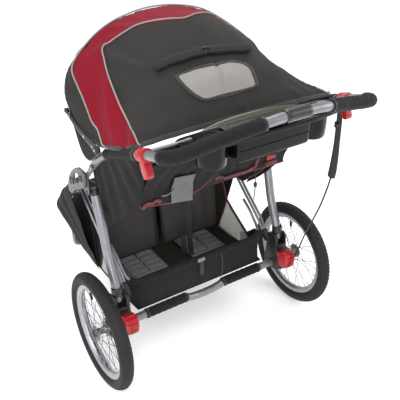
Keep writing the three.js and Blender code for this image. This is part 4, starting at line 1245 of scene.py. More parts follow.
hem, sp1, sn1 = hem_strip("hem_rear", hem_uv, np.array([0, 0.3]), "binding", 0.013)
parts = [hem, stitches("st", sp1, sn1, "stitch_light", pitch=0.006, length=0.0036, r=0.00045)]
for s in (0, 1):
    e = np.stack([np.full(160, 0.0 if s == 0 else 12.0), np.linspace(0, 10, 160)], 1)
    o, q, n_ = hem_strip("hem_side", e, np.array([0.25 if s == 0 else -0.25, 0]), "binding", 0.011)
    parts.append(o)
# rim: the front bow inside a sewn sleeve
rim_uv = np.stack([np.linspace(0.0, 12.0, 300), np.full(300, 10.0)], 1)
rp = crv3(rim_uv, -0.0035)
rimr = 0.0058 + 0.0003 * np.sin(np.arange(300) * 0.9) + 0.0002 * np.sin(np.arange(300) * 2.3)
parts.append(sweep("rim_sleeve", rp, rimr, "canopy", n=18, roundcap=True))
q_uv = np.stack([np.linspace(0.15, 11.85, 300), np.full(300, 9.70)], 1)
parts.append(stitches("st", cover(q_uv), Sn(q_uv), "stitch", pitch=0.0055, length=0.0036, r=0.0005))
hems = merge("canopy_hems", parts)

# window of pale netting, painted with the backdrop's light seen through it, its bound rim, and the cover flap rolled
# above it
W_UV = [(4.48, 3.66), (5.2, 3.80), (6.56, 3.74), (6.98, 3.44), (7.08, 3.1), (7.02, 2.16), (5.9, 2.06), (4.98, 2.08), (4.72, 2.5), (4.56, 3.0)]
_wr = rounded([(u * 100, v * 100) for u, v in W_UV], 16, 6)
wloop = smooth_path([(u / 100, v / 100, 0) for u, v in _wr], 180, closed=True)[:, :2]
wc = wloop.mean(axis=0)
rings = [wc + (wloop - wc) * f for f in np.linspace(0.02, 1.0, 26)]
wg = np.array([cover(r, 0.0012) for r in rings])
wv = np.vstack([wg.reshape(-1, 3), wg[0].mean(axis=0)[None]])
wf = grid_faces(26, 180, True) + [[j, (j + 1) % 180, 26 * 180] for j in range(180)]
# window sheet in the pale netting: painted backdrop light
win = mesh_obj("canopy_window", wv, wf, "net")
fix_normals(win)
modify(win, "SOLIDIFY", thickness=0.0008, offset=1.0)
bake(win)
wl = cover(wloop, 0.0018)
wn = Sn(wloop)
dcen = wl - wl.mean(axis=0)
dcen -= (dcen * wn).sum(1)[:, None] * wn
dcen /= np.linalg.norm(dcen, axis=1)[:, None]
prof = [(-0.006, 0.0), (-0.0055, 0.0012), (0, 0.0016), (0.0055, 0.0012), (0.006, -0.0006)]
g = np.array([wl + dcen * a + wn * b for a, b in prof])
gv = g.reshape(-1, 3)
wb = mesh_obj("wb", gv, grid_faces(5, 180, True), "binding")
fix_normals(wb)
close = lambda a: np.vstack([a, a[:1]])
wst = [wb] + [stitches("st", close(wl + dcen * a + wn * 0.0016), close(wn), "stitch_light", pitch=0.0058, length=0.0034, r=0.00045) for a in (-0.0042, 0.0042)]
win_rim = merge("canopy_window_rim", wst)

roll_uv = uvcurve([(3.98, 4.28), (4.6, 4.36), (5.3, 4.39), (5.9, 4.38), (6.7, 4.30), (7.55, 4.16)], 90)
rc = S(roll_uv)
rn = Sn(roll_uv)
k = np.arange(90)
rr = 0.0135 + 0.0009 * np.sin(k * 0.35) + 0.0006 * np.sin(k * 0.9 + 1)
rr[:3] = [0.0105, 0.0122, 0.013]
rr[-3:] = [0.013, 0.0122, 0.0105]
tie = int(90 * (5.73 - 3.98) / (7.55 - 3.98))
rr -= 0.0042 * np.exp(-((k - tie) / 2.6) ** 2)
sec = []
for i in range(30):
    a = 2 * pi * i / 30
    bumpy = 1 + 0.05 * math.sin(3 * a + 0.7) + (0.11 if 0.3 < a < 0.55 else 0)
    sec.append((math.cos(a) * bumpy, math.sin(a) * bumpy * 0.86))
roll_c = rc + rn * 0.0105 + np.stack([0 * k, 0 * k, -0.001 * np.sin(k * 0.12)], 1)
rollo = [sweep("roll", roll_c, rr, "canopy", section=sec, up=tuple(rn[0]))]
for e in (0, -1):
    for q in (0.35, 0.7):
        ang = np.linspace(0, 2 * pi, 26)
        t_, s_, n_ = frames(roll_c, tuple(rn[0]))
        base = roll_c[e] + t_[e] * (-0.0006 if e == 0 else 0.0006)
        ring = base + 0.0105 * q * (np.cos(ang)[:, None] * s_[e] + np.sin(ang)[:, None] * n_[e])
        rollo.append(sweep("sp", ring, 0.0007, "binding", n=6))
# flap edge lying back to the panel, and its tie with a barrel toggle
fl = np.array([cover(roll_uv + np.array([0, dv]), 0.0016) for dv in (-0.02, 0.09, 0.2, 0.27)])
flo = mesh_obj("fl", fl.reshape(-1, 3), grid_faces(4, 90), "canopy")
modify(flo, "SOLIDIFY", thickness=0.0012, offset=0)
rollo.append(bake(flo))
ts = int(tie)
tdir = (roll_c[ts + 1] - roll_c[ts - 1]) / np.linalg.norm(roll_c[ts + 1] - roll_c[ts - 1])
side_v = np.cross(rn[ts], tdir)
ang = np.linspace(-0.5, pi + 0.5, 26)
rollo.append(ribbon("tie", roll_c[ts] + 0.0114 * (np.cos(ang)[:, None] * side_v + np.sin(ang)[:, None] * rn[ts] * 0.9), 0.006, 0.0012, "webbing", (roll_c[ts] * 0 + tdir) * 0 + np.array([rn[ts] * math.sin(a) + side_v * math.cos(a) for a in ang])))
tg = roll_c[ts] + rn[ts] * 0.0135 - side_v * 0.002
rollo.append(sweep("toggle", [tg - tdir * 0.011, tg - tdir * 0.008, tg, tg + tdir * 0.008, tg + tdir * 0.011], [0.0022, 0.0036, 0.004, 0.0036, 0.0022], "plastic", n=16))
flap_roll = merge("canopy_flap_roll", rollo)

rig(rear_panel, "fabric_canopy", "canopy_rear")
rig(band, "fabric_red")
rig(visor, "fabric_canopy", "canopy_front")
rig(piping, "piping")
rig(seam_stitches, "fabric_black")
rig(hems, "fabric_black")
rig(win, "mesh")
rig(win_rim, "fabric_black")
rig(flap_roll, "fabric_canopy")


def area(o, half=True):
    a = sum(p.area for p in o.data.polygons)
    return a / 2 if half else a


# bow arms and their pivots (the small side flaps below them follow further on)
for s, side in ((1, "left"), (-1, "right")):
    ol = rounded([(18, 828), (18, 846), (4, 855), (-60, 859), (-120, 869), (-190, 891), (-200, 888), (-199, 881), (-122, 851), (-60, 840), (-8, 826), (8, 822)], 7)
    arm = [slab("arm", ol, s * 358.4, s * 362, "plastic", bevel=1.2)]
    arm.append(slab("armrib", rounded([(6, 838), (6, 846), (-60, 852), (-120, 862), (-180, 880), (-181, 875), (-120, 856), (-60, 846), (-6, 834)], 3), s * 361, s * 363, "plastic", bevel=0.8))
    for yy, zz in ((-76, 851), (-172, 878), (-22, 842)):
        arm.append(lathe("rv", [(0, 0.0), (0, 0.0052), (0.001, 0.0050), (0.0022, 0.0032), (0.0026, 0)], P(s * 362.6, yy, zz), (s, 0, 0), "steel", n=24))
    arm.append(lathe("boss", [(-0.010, 0.0), (-0.010, 0.0108), (0.0, 0.0112), (0.0035, 0.0105), (0.0050, 0.0075), (0.0053, 0)], P(s * 362, 0, 840), (s, 0, 0), "plastic", n=40))
    arm.append(lathe("bosspin", [(0, 0), (0, 0.0042), (0.001, 0.0038), (0.0014, 0)], P(s * 367.1, 0, 840), (s, 0, 0), "steel", n=24))
    arm.append(lathe("knob", [(-0.007, 0), (-0.006, 0.0068), (0.0, 0.0084), (0.004, 0.0076), (0.006, 0.005), (0.0066, 0)], P(s * 358.5, -196, 887), (s, 0, 0), "plastic", n=32))
    a = merge(f"canopy_bow_{side}_arm", arm)
    done(a, "canopy_front", "black_plastic", f"canopy_bow_{side}")
def netting(name, base, dark, alpha):
    """Fine see-through netting."""
    m = net_mat(name, base, dark, 520.0)
    m.node_tree.nodes["Principled BSDF"].inputs["Alpha"].default_value = alpha
    return m


M["side_net"] = netting("side_netting", lin((196, 192, 184)), lin((150, 146, 138)), 0.7)
M["pinkgrey"] = plastic("latch_end_cap", lin((176, 138, 138)), 0.4, 0.1, 900, 0.5, 0.1, 0.1)


def nz(p, sx=1.0, sy=1.0, sz=1.0, seed=0.0):
    return mnoise.noise(Vector((p[0] * sx + seed, p[1] * sy, p[2] * sz)))


def loft_cloth(name, rows, n_along, n_across, mat, thick=0.0016, amp=0.003, fold=None, seed=0.0, bulge=0.0, offset=-1.0, pin=0.12):
    """Cloth held along both edges: rows of control curves (c-frame mm), lofted, sagging and wrinkled between them."""
    cs = np.array([smooth_path(PP(r), n_along) for r in rows])
    t = np.linspace(0, 1, n_across)
    k = np.linspace(0, 1, len(rows))
    g = np.zeros((n_across, n_along, 3))
    for c in range(3):
        if len(rows) > 2:
            pth = None
        for j in range(n_along):
            g[:, j, c] = np.interp(t, k, cs[:, j, c]) if len(rows) == 2 else 0
    if len(rows) > 2:
        for j in range(n_along):
            q = smooth_path(cs[:, j], n_across)
            g[:, j] = q
    du = np.gradient(g, axis=1)
    dv = np.gradient(g, axis=0)
    n = np.cross(du, dv)
    ln = np.linalg.norm(n, axis=2)
    n = n / np.maximum(ln, 1e-12)[..., None]
    out = g.copy()
    for i in range(n_across):
        e = min(1.0, min(i, n_across - 1 - i) / (n_across * pin)) if pin else 1.0
        mid = math.sin(pi * t[i])
        for j in range(n_along):
            p = g[i, j]
            h = amp * (nz(p, 9, 9, 9, seed) + 0.45 * nz(p, 24, 20, 22, seed + 5) + 0.18 * nz(p, 60, 60, 60, seed + 9))
            if fold:
                cnt, fa, skew = fold
                s = j / (n_along - 1.0)
                ph = 2 * pi * cnt * (s + skew * t[i]) + 2.2 * mnoise.noise(Vector((s * 3.1 + seed, t[i] * 0.8, 0)))
                w = math.sin(ph)
                h += fa * (abs(w) ** 0.8 * math.copysign(1, w)) * (0.35 + 0.65 * mid)
            out[i, j] = p + n[i, j] * (h * (0.25 + 0.75 * e) + bulge * mid)
    return sheet_obj(name, out, mat, thick=thick, offset=offset)


def edge_tape(name, pts_m, normals, mat, width=0.012, thick=0.0024):
    return ribbon(name, pts_m, width, thick, mat, normals)


def soft(o):
    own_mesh(o)
    return o


def puff(name, o, pin_fn, pressure=4.0, cap=0.012, voxel=0.0055, keep_mats=None):
    """Stuffs a closed shape: remeshed evenly, then blown up as cloth with its back held."""
    mats = [m for m in o.data.materials]
    r = o.modifiers.new("remesh", "REMESH")
    r.mode = "VOXEL"
    r.voxel_size = voxel
    bake(o)
    base = np.array([v.co for v in o.data.vertices], float)
    vg = o.vertex_groups.new(name="pin")
    held = [i for i, c in enumerate(base) if pin_fn(c)]
    if held:
        vg.add(held, 1.0, "REPLACE")
    cm = o.modifiers.new("cloth", "CLOTH")
    st_ = cm.settings
    st_.quality = 6
    st_.mass = 0.25
    st_.tension_stiffness = 12
    st_.compression_stiffness = 12
    st_.shear_stiffness = 4
    st_.bending_stiffness = 0.4
    st_.use_pressure = True
    st_.uniform_pressure_force = pressure
    st_.vertex_group_mass = "pin"
    st_.effector_weights.gravity = 0.0
    cm.point_cache.frame_start = 1
    cm.point_cache.frame_end = 20
    sc_ = bpy.context.scene
    for f in range(1, 21):
        sc_.frame_set(f)
        bpy.context.evaluated_depsgraph_get()
    ev = o.evaluated_get(bpy.context.evaluated_depsgraph_get())
    now = np.array([v.co for v in ev.data.vertices], float)
    o.modifiers.clear()
    sc_.frame_set(1)
    d = now - base
    L = np.linalg.norm(d, axis=1)
    d *= np.minimum(1.0, cap / np.maximum(L, 1e-9))[:, None]
    o.data.vertices.foreach_set("co", (base + d).astype(np.float32).ravel())
    o.data.update()
    modify(o, "SMOOTH", factor=0.5, iterations=3)
    modify(o, "SUBSURF", levels=1, render_levels=1)
    bake(o)
    o.data.materials.clear()
    for m in mats:
        o.data.materials.append(m)
    o.data.polygons.foreach_set("use_smooth", np.ones(len(o.data.polygons), dtype=bool))
    o.name = name
    return o


# ------------------------------------------------------------------ cloth wraps on the handle tube
for s, side in ((1, "left"), (-1, "right")):
    idx = [i for i in range(len(HP)) if (HP[i][0] * s > 0.3) and 12 < HP[i][1] * 1000 - SHIFT < 198]
    seg = HP[idx]
    pth = smooth_path(seg[::max(1, len(seg) // 12)], 90)
    k = np.arange(90)
    rr = 0.0158 + 0.0005 * np.sin(k * 0.7) + 0.0004 * np.sin(k * 1.9 + 1.0)
    rr[:2] = rr[-2:] = 0.0146
    o1 = sweep("wrap", pth, rr, "black", n=28)
    hems_ = [sweep("wh", pth[a:a + 4], 0.0166, "binding", n=28) for a in (1, 85)]
    seam = pth + np.array([s * 0.0145, 0, -0.0075])
    done(merge(f"handle_wrap_{side}", [o1, *hems_, stitches("st", seam[3:-3], np.array([s * 0.9, 0, -0.45]), "stitch_light", pitch=0.006, r=0.0005)]), "handle_frame", "fabric_black")

# ------------------------------------------------------------------ side flaps below the bow arms
for s, side in ((1, "left"), (-1, "right")):
    fo = smooth_path([(-176, 889, 0), (-150, 846, 0), (-132, 817, 0), (-117, 795, 0), (-98, 782, 0), (-71, 779, 0), (-48, 788, 0), (-28, 803, 0), (0, 826, 0), (12, 838, 0)], 60)[:, :2]
    top = smooth_path([(-176, 891, 0), (-120, 866, 0), (-60, 852, 0), (-8, 842, 0), (12, 840, 0)], 60)[:, :2]
    g = []
    for q in np.linspace(0, 1, 22):
        row = (1 - q) * top + q * fo
        g.append([P(s * (355.6 + 1.6 * math.sin(q * 5 + a[0] * 0.02) * math.sin(pi * q)), a[0], a[1]) for a in row])
    fl_ = sheet_obj("fl", np.array(g), "black", thick=0.0016, offset=0)
    et = sweep("et", np.array([P(s * 355.8, a, b) for a, b in fo]), 0.0026, "binding", n=10, roundcap=True)
    o = merge(f"canopy_side_flap_{side}", [fl_, et])
    done(o, "canopy_front", "fabric_black")
    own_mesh(o)

# ------------------------------------------------------------------ hinge plates, side brackets, pins, latches
for s, side in ((1, "left"), (-1, "right")):
    hp_ = [slab("hp", rounded([(-64, 756), (-56, 748), (-102, 700), (-106, 690), (-104, 648), (-112, 636), (-126, 636), (-134, 646), (-142, 668), (-155, 684), (-152, 702), (-138, 714), (-120, 712), (-104, 722), (-74, 760)], 5),
                s * 348.7, s * 352.6, "taupe", bevel=0.9, holes=[circle(-130, 690, 6.3, 28)])]
    for yy, zz in ((-72, 748), (-84, 736)):
        hp_.append(lathe("rv", [(0, 0), (0, 0.0048), (0.0012, 0.0042), (0.002, 0)], P(s * 352.6, yy, zz), (s, 0, 0), "steel", n=20))
    hp_.append(lathe("rv2", [(0, 0), (0, 0.0068), (0.0016, 0.006), (0.0026, 0)], P(s * 352.6, -120, 645), (s, 0, 0), "plastic", n=24))
    done(merge(f"hinge_plate_{side}_pressed", hp_), "handle_frame", "grey_plastic", f"hinge_plate_{side}")
    outline = rounded([(-103, 700), (-110, 716), (-128, 723), (-150, 720), (-176, 706), (-205, 684), (-230, 655), (-244, 626), (-248, 604), (-238, 592), (-224, 596), (-208, 606), (-188, 624), (-160, 638), (-128, 657), (-110, 668)], 7)
    w1 = rounded([(-152, 694), (-150, 668), (-176, 654), (-196, 660), (-193, 676), (-174, 692)], 6)
    w2 = rounded([(-206, 662), (-204, 642), (-216, 630), (-228, 636), (-224, 650), (-214, 660)], 5)
    br = [slab("sb", outline, s * 355.1, s * 362.9, "taupe", bevel=2.0, seg=4, holes=[circle(-130, 690, 6.4, 28), w1, w2])]
    br.append(lathe("ringr", [(0, 0.0066), (0, 0.0168), (0.0016, 0.0172), (0.0024, 0.0160), (0.0024, 0.0108), (0.0012, 0.0096), (0.0012, 0.0066)], P(s * 362.0, -130, 690), (s, 0, 0), "taupe", n=40, closed=True))
    br.append(lathe("boss", [(0, 0), (0, 0.0112), (0.0018, 0.0112), (0.003, 0.0098), (0.0034, 0.006), (0.0028, 0)], P(s * 362.2, -200, 650), (s, 0, 0), "plastic", n=36))
    so = sweep("so", PP([(s * 330, -226, 621.8), (s * 330, -262, 595.3)]), 0.0188, "taupe", n=40)
    so2 = [sweep("sor", PP([(s * 330, y0, z0), (s * 330, y0 - 5, z0 - 3.7)]), 0.0194, "taupe", n=40) for y0, z0 in ((-225, 622.5), (-258, 598.2))]
    br += [so, *so2, boxy("web", s * 341, s * 357, -243, -226, 602, 622, "taupe", bevel=2.5)]
    br.append(slab("cover", rounded([(-214, 628), (-236, 636), (-250, 612), (-246, 592), (-226, 590)], 8), s * 346, s * 358, "taupe", bevel=2.5))
    done(merge(f"side_bracket_{side}_moulded", br), "front_frame", "grey_plastic", f"side_bracket_{side}")
    hpn = [lathe("hpn", [(0.344, 0), (0.344, 0.0058), (0.3635, 0.0058), (0.3635, 0.0108), (0.3658, 0.0108), (0.3672, 0.0088), (0.3672, 0.0042), (0.3662, 0.0034), (0.3662, 0)] if s > 0 else
                 [(0.344, 0), (0.344, 0.0058), (0.3635, 0.0058), (0.3635, 0.0108), (0.3658, 0.0108), (0.3672, 0.0088), (0.3672, 0.0042), (0.3662, 0.0034), (0.3662, 0)],
                 (0, (-130 + SHIFT) / 1000, 0.690), (s, 0, 0), "plastic", n=36)]
    done(merge(f"hinge_pin_{side}_turned", hpn), "front_frame", "steel", f"hinge_pin_{side}")
    # red latch: split collar round the tube, thumb lever below, pale end cap
    a, b = P(s * 335.4, 215, 910), P(s * 335.6, 249, 922.3)
    ax_ = (b - a) / np.linalg.norm(b - a)
    L = float(np.linalg.norm(b - a))
    la = [lathe("lc", [(0, 0.0134), (0, 0.0178), (0.0018, 0.0189), (0.009, 0.0189), (0.010, 0.0178), (0.0115, 0.0178), (0.0125, 0.0189), (L - 0.002, 0.0189), (L, 0.0175), (L, 0.0134)], a, ax_, "redp", n=48, closed=True)]
    la.append(lathe("ec", [(-0.001, 0.0132), (-0.001, 0.0168), (0.0005, 0.0180), (0.0060, 0.0190), (0.0066, 0.0170), (0.0066, 0.0132)], a, ax_, "pinkgrey", n=44, closed=True))
    la.append(slab("lv", rounded([(222, 902), (244, 909), (262, 872), (258, 860), (244, 858), (232, 874)], 6), s * 324.2, s * 346.8, "redp", bevel=3.5, seg=4))
    for q in range(4):
        yy, zz = 260.5 - 2.4 * q, 873 + 5.2 * q
        la.append(sweep("rg", [P(s * 328.5, yy, zz), P(s * 342.5, yy, zz)], 0.0012, "redp_dark", n=8, roundcap=True))
    la.append(boxy("ear", s * 331, s * 340, 224, 242, 923.5, 933, "redp", bevel=2.2))
    la.append(sweep("scr", [P(s * 329.5, 233, 929), P(s * 341.5, 233, 929)], 0.0026, "steel", n=14))
    done(merge(f"fold_latch_{side}_moulded", la), f"fold_latch_{side}", "red_plastic", f"fold_latch_{side}")

# ------------------------------------------------------------------ parent tray and its lid
def lean(o):
    co = np.array([v.co for v in o.data.vertices], float)
    z, y = co[:, 2] * 1000, co[:, 1] * 1000 - SHIFT
    co[:, 2] += 0.10 * (y - 277) * np.minimum(np.maximum(0, (z - 868) / 70), 1.1) / 1000
    o.data.vertices.foreach_set("co", co.astype(np.float32).ravel())
    o.data.update()
    return o


half_deck = [(-252, 236), (-232, 224), (-120, 216), (120, 216), (232, 224), (252, 236), (256, 292), (238, 320), (130, 334), (-130, 334), (-238, 320), (-256, 292)]
boxhole = rounded([(-116, 228), (116, 228), (116, 324), (-116, 324)], 12)
dk = slab("dk", rounded(half_deck, 16, 6), 926, 938, "smoke", bevel=3.2, seg=5, holes=[circle(-168, 277, 37.4, 56), circle(168, 277, 37.4, 56), boxhole], plane="xy")
tray = [dk]
for s in (1, -1):
    tray.append(lathe("cup", [(0.9385, 0.0378), (0.9405, 0.0385), (0.9415, 0.0405), (0.9405, 0.0428), (0.9385, 0.0432), (0.930, 0.0424), (0.890, 0.0414), (0.868, 0.0402), (0.8625, 0.037), (0.862, 0), (0.8665, 0), (0.868, 0.0345), (0.872, 0.0362), (0.930, 0.0374)],
                      (s * 0.168, (277 + SHIFT) / 1000, 0), (0, 0, 1), "smoke", n=64, closed=False, auto=40))
    for q in range(6):
        aa = 2 * pi * q / 6 + 0.3
        tray.append(sweep("fin", [np.array([s * 0.168 + 0.0352 * math.cos(aa), (277 + SHIFT) / 1000 + 0.0352 * math.sin(aa), z]) for z in (0.872, 0.900, 0.930)], 0.0017, "plastic", n=8))
    tray.append(lathe("liner", [(0.8675, 0.0), (0.8675, 0.0352), (0.8682, 0.0352), (0.8682, 0.0)], (s * 0.168, (277 + SHIFT) / 1000, 0), (0, 0, 1), "plastic", n=48))
    # support arm: trough with a bright rod in it, from the tray to the handle tube
    tray.append(slab("arm", rounded([(s * 236, 236), (s * 316, 236), (s * 320, 284), (s * 248, 284)], 4), 917, 925, "plastic", bevel=2, plane="xy"))
    for yy in (236, 280):
        tray.append(boxy("lip", s * 240, s * 316, yy, yy + 2.8, 921, 931, "plastic", bevel=1.0))
    tray.append(sweep("rod", smooth_path(PP([(s * 321, 240, 930), (s * 290, 244, 932), (s * 252, 248, 934), (s * 214, 250, 937)]), 30), 0.0062, "silver", n=18, roundcap=True))
# raised front edge of the deck, from cup to cup
hg = []
for xx in np.linspace(-168, 168, 49):
    f = max(0.0, 1 - abs(xx / 168.0) ** 2.6)
    hg.append([P(xx, 226 - (226 - yy) * (0.12 + 0.88 * f), 936.5 + (zz - 936.5 + 9.0 * w_) * f) for yy, zz, w_ in ((224, 937.2, 0.0), (218, 937.6, 0.0), (211, 939.0, 0.55), (204, 940.0, 1.0), (198, 937.0, 0.95), (194, 932.0, 0.8), (192.5, 927.0, 0.5), (194, 923.0, 0.2))])
# hood in the paler smoke copy: painted reflection on the raised edge of the dark smoke deck
hd = sheet_obj("hood", np.array(hg), "smoke_olive", thick=0.0022, offset=0)
tray.append(hd)
bo = []
outer_ = np.array(rounded([(-122, 222), (122, 222), (122, 330), (-122, 330)], 16, 7))
inner_ = np.array(rounded([(-117, 227), (117, 227), (117, 325), (-117, 325)], 12, 7))
def ringz(ring, z, f=1.0):
    c = ring.mean(axis=0)
    return [P(*(c + (q - c) * f), z) for q in ring]
lay = [ringz(outer_, 929, 1.0), ringz(outer_, 900, 0.992), ringz(outer_, 880, 0.985), ringz(outer_, 874.5, 0.975), ringz(outer_, 872, 0.945), ringz(outer_, 872, 0.6), ringz(outer_, 872, 0.02)]
lay2 = [ringz(inner_, 877, 0.02), ringz(inner_, 877, 0.6), ringz(inner_, 877, 0.95), ringz(inner_, 881, 0.98), ringz(inner_, 929, 1.0)]
for L_ in (lay, lay2):
    g = np.array(L_)
    o = mesh_obj("bx", g.reshape(-1, 3), grid_faces(g.shape[0], g.shape[1], True), "smoke")
    fix_normals(o)
    sharp(o, 60)
    bo.append(o)
tray += bo
tray.append(sweep("shelf", smooth_path(PP([(-112, 329.4, 902), (0, 330.2, 902), (112, 329.4, 902)]), 40), 0.0016, "smoke_dark", n=10, roundcap=True))
for o in tray:
    lean(o)
tr = merge("parent_tray_moulded", tray)
done(tr, "handle_frame", "smoke_plastic", "parent_tray")
lid_o = rounded([(-117.5, 227), (117.5, 227), (117.5, 298), (86, 318), (40, 325.5), (-40, 325.5), (-86, 318), (-117.5, 298)], 12, 6)
# lid in the paler smoke copy: painted reflection on its top
lid = [slab("lid", lid_o, 939.8, 943.8, "smoke_olive", bevel=1.6, seg=4, plane="xy")]
lid.append(slab("lidr", rounded([(-100, 238), (100, 238), (100, 290), (74, 306), (-74, 306), (-100, 290)], 14, 6), 943.4, 945.2, "smoke_olive", bevel=0.8, plane="xy"))
lid.append(boxy("tab", -22, 22, 321, 328, 939.8, 943.8, "smoke_dark", bevel=1.5))
for x in (-70, 70):
    lid.append(sweep("hg", [P(x - 12, 227, 938.8), P(x + 12, 227, 938.8)], 0.0035, "smoke_dark", n=14, roundcap=True))
for o in lid:
    lean(o)
done(merge("tray_lid_moulded", lid), "tray_lid", "smoke_plastic", "tray_lid")

# ------------------------------------------------------------------ seats
c42, s42 = math.cos(math.radians(42)), math.sin(math.radians(42))
def back(u, v):
    return (-150 + u * s42 - v * c42, 515 + u * c42 + v * s42)


for s, side in ((1, "left"), (-1, "right")):
    base = slab("pad", rounded([(-158, 500), (-340, 532), (-350, 540), (-348, 554), (-334, 560), (-240, 546), (-178, 530), (-161, 520)], 6), s * 14, s * 263, "pad", bevel=6, seg=3)
    pd = puff(f"seat_pad_{side}", base, lambda c: c[2] < 0.514 + (-(c[1] * 1000 - SHIFT) - 158) * 0.000175, cap=0.009)
    done(pd, "front_frame", "fabric_black", f"seat_bottom_{side}")
    soft(pd)
    bb = slab("bk", rounded([back(16, -14), back(16, 10), back(60, 14), back(200, 16), back(380, 14), back(422, 6), back(428, -4), back(416, -12), back(200, -17), back(60, -17)], 6), s * 14, s * 263, "pad", bevel=6, seg=3)
    bk = puff(f"seat_back_{side}_pad", bb, lambda c: (-(c[1] * 1000 - SHIFT + 150) * c42 + (c[2] * 1000 - 515) * s42) < -10, cap=0.009)
    done(bk, f"seat_back_{side}", "fabric_black", f"seat_back_{side}")
    soft(bk)
    # quilting seams and bound edges on the front of the back and on the seat
    sb = []
    for u0 in (150, 290):
        xs = np.linspace(s * 22, s * 255, 50)
        y, z = back(u0, 20.5)
        sb.append(sweep("qs", PP([(x, y, z - 1.0) for x in xs]), 0.0016, "binding", n=8))
    for xx in (12.5, 264.5):
        sb.append(sweep("pe", smooth_path(PP([(s * xx, *back(u, 1)) for u in (20, 120, 220, 320, 424)]), 60), 0.0032, "red_binding", n=10, roundcap=True))
    sb.append(sweep("pt", smooth_path(PP([(s * x, *back(430, 0)) for x in (14, 140, 262)]), 60), 0.0034, "red_binding", n=10, roundcap=True))
    o = merge(f"seat_back_{side}_seams", sb)
    done(o, f"seat_back_{side}", "fabric_black")
    soft(o)
    sb = [sweep("pf", smooth_path(PP([(s * x, -350, 548) for x in (14, 140, 262)]), 60), 0.0032, "red_binding", n=10, roundcap=True)]
    for xx in (138.5,):
        sb.append(sweep("qs", smooth_path(PP([(s * xx, -176, 537), (s * xx, -240, 553), (s * xx, -330, 567)]), 40), 0.0015, "binding", n=8))
    o = merge(f"seat_pad_{side}_seams", sb)
    done(o, "front_frame", "fabric_black")
    soft(o)
    # rear drape hanging from the top of the back, with a red-bound lower edge
    bot = [(s * 266, 60, 655), (s * 200, 62, 645), (s * 130, 62, 636), (s * 70, 58, 648), (s * 14, 55, 672)] if s > 0 else [(s * 266, 60, 655), (s * 200, 60, 656), (s * 130, 60, 658), (s * 70, 58, 660), (s * 14, 55, 668)]
    topc = [(s * x, 146, 828) for x in (266, 200, 130, 70, 14)]
    m1 = [(x, 124, 786) for x, _, _ in topc]
    m2 = [(x, 92, 738) for x, _, _ in topc]
    m3 = [(x, 70, 694) for x, _, _ in topc]
    dr = loft_cloth("dr", [topc, m1, m2, m3, bot], 110, 70, "black", amp=0.0035, seed=3.1 + s, fold=(4.3, 0.0022, 0.12), offset=0, pin=0.1)
    if s < 0:
        dr_area = area(dr)
    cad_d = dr
    bl = smooth_path(PP(bot), 110)
    o = merge(f"seat_drape_{side}", [dr])
    done(o, f"seat_back_{side}", "fabric_black")
    soft(o)
    e1 = sweep("eb", bl, 0.0036, "red_binding", n=10, roundcap=True)
    kids = [e1]
    if s > 0:
        # plain sewn-on label with a narrow tail, blank
        lab = []
        for a in np.linspace(0, 1, 26):
            row = []
            for b in np.linspace(0, 1, 20):
                x = (172 - 76 * b) * (1 - a) + (166 - 76 * b) * a
                z = (744 - 12 * b) * (1 - a) + (640 - 14 * b) * a
                yy = np.interp(z, [636, 694, 738, 786], [66, 75, 97, 129])
                row.append(P(x, yy + 1.5 + 0.8 * math.sin(a * 7 + b * 3), z))
            lab.append(row)
        kids.append(sheet_obj("lab", np.array(lab), "label", thick=0.0007, offset=0))
        tail = smooth_path(PP([(160, 78, 690), (174, 79, 683), (188, 80, 680), (204, 82, 684)]), 24)
        kids.append(ribbon("tail", tail, 0.006, 0.0008, "label", (0, 0.9, -0.3)))
        lp = np.array([P((170 - 72 * b), np.interp(741 - 12 * b, [636, 694, 738, 786], [66, 75, 97, 129]) + 2.6, 741 - 12 * b) for b in np.linspace(0, 1, 30)])
        kids.append(stitches("ls", lp, np.array([0, 0.9, -0.3]), "stitch", pitch=0.006, r=0.0004))
        kids.append(ribbon("loop", smooth_path(PP([(262, 66, 650), (248, 69, 664), (230, 68, 660), (214, 67, 664), (200, 66, 652)]), 40), 0.012, 0.0022, "red_binding", (0.1, 1, -0.2)))
    else:
        # bound opening above the hem, a clip, and a hanging drawcord with its toggle
        kids.append(ribbon("rs", smooth_path(PP([(-28, 66, 664), (-70, 70, 668), (-112, 70, 667), (-140, 68, 672)]), 30), 0.011, 0.0026, "red_binding", (0.1, 1, -0.2)))
        kids.append(ribbon("rs2", smooth_path(PP([(-142, 70, 668), (-146, 72, 684), (-148, 80, 706)]), 20), 0.010, 0.0026, "red_binding", (0.1, 1, -0.2)))
        kids.append(ribbon("rs3", smooth_path(PP([(4, 63, 668), (-8, 66, 676), (-20, 68, 670)]), 20), 0.010, 0.0024, "red_binding", (0.1, 1, -0.2)))
        kids.append(boxy("cl", -182, -226, 70, 80, 668, 682, "red_binding", bevel=3))
        kids.append(boxy("cl2", -186, -222, 66, 76, 684, 704, "redp_dark", bevel=3))
        cd = smooth_path(PP([(-150, 66, 656), (-149, 68, 626), (-152, 66, 600), (-154, 62, 570), (-155, 58, 545)]), 40)
        kids.append(sweep("cd", cd, 0.0017, "webbing", n=8, roundcap=True))
        kids.append(blob("tog", cd[18], (0.0055, 0.0055, 0.010), "plastic", n=10, power=2.6))
    o = merge(f"seat_drape_{side}_trim", kids)
    done(o, f"seat_back_{side}", "fabric_red")
    soft(o)
    # side wing: gathered cloth from the handle tube to the seat's side, in vertical folds
    tp = [(s * 334, -98, 722), (s * 334, -40, 776), (s * 334, 20, 814), (s * 334, 96, 849), (s * 334, 160, 874)]
    lo = [(s * 292, -160, 462), (s * 285, -75, 532), (s * 277, 15, 622), (s * 270, 66, 690), (s * 268, 118, 800)]
    md = [(s * 318, -128, 590), (s * 314, -62, 660), (s * 309, 18, 726), (s * 304, 84, 776), (s * 302, 140, 838)]
    wg_ = loft_cloth("wg", [tp, md, lo], 150, 90, "black", amp=0.004, fold=(5.2, 0.0036, 0.06), seed=7.7 * s, offset=0, pin=0.08)
    o = merge(f"seat_wing_{side}", [wg_])
    done(o, "front_frame", "fabric_black")
    soft(o)
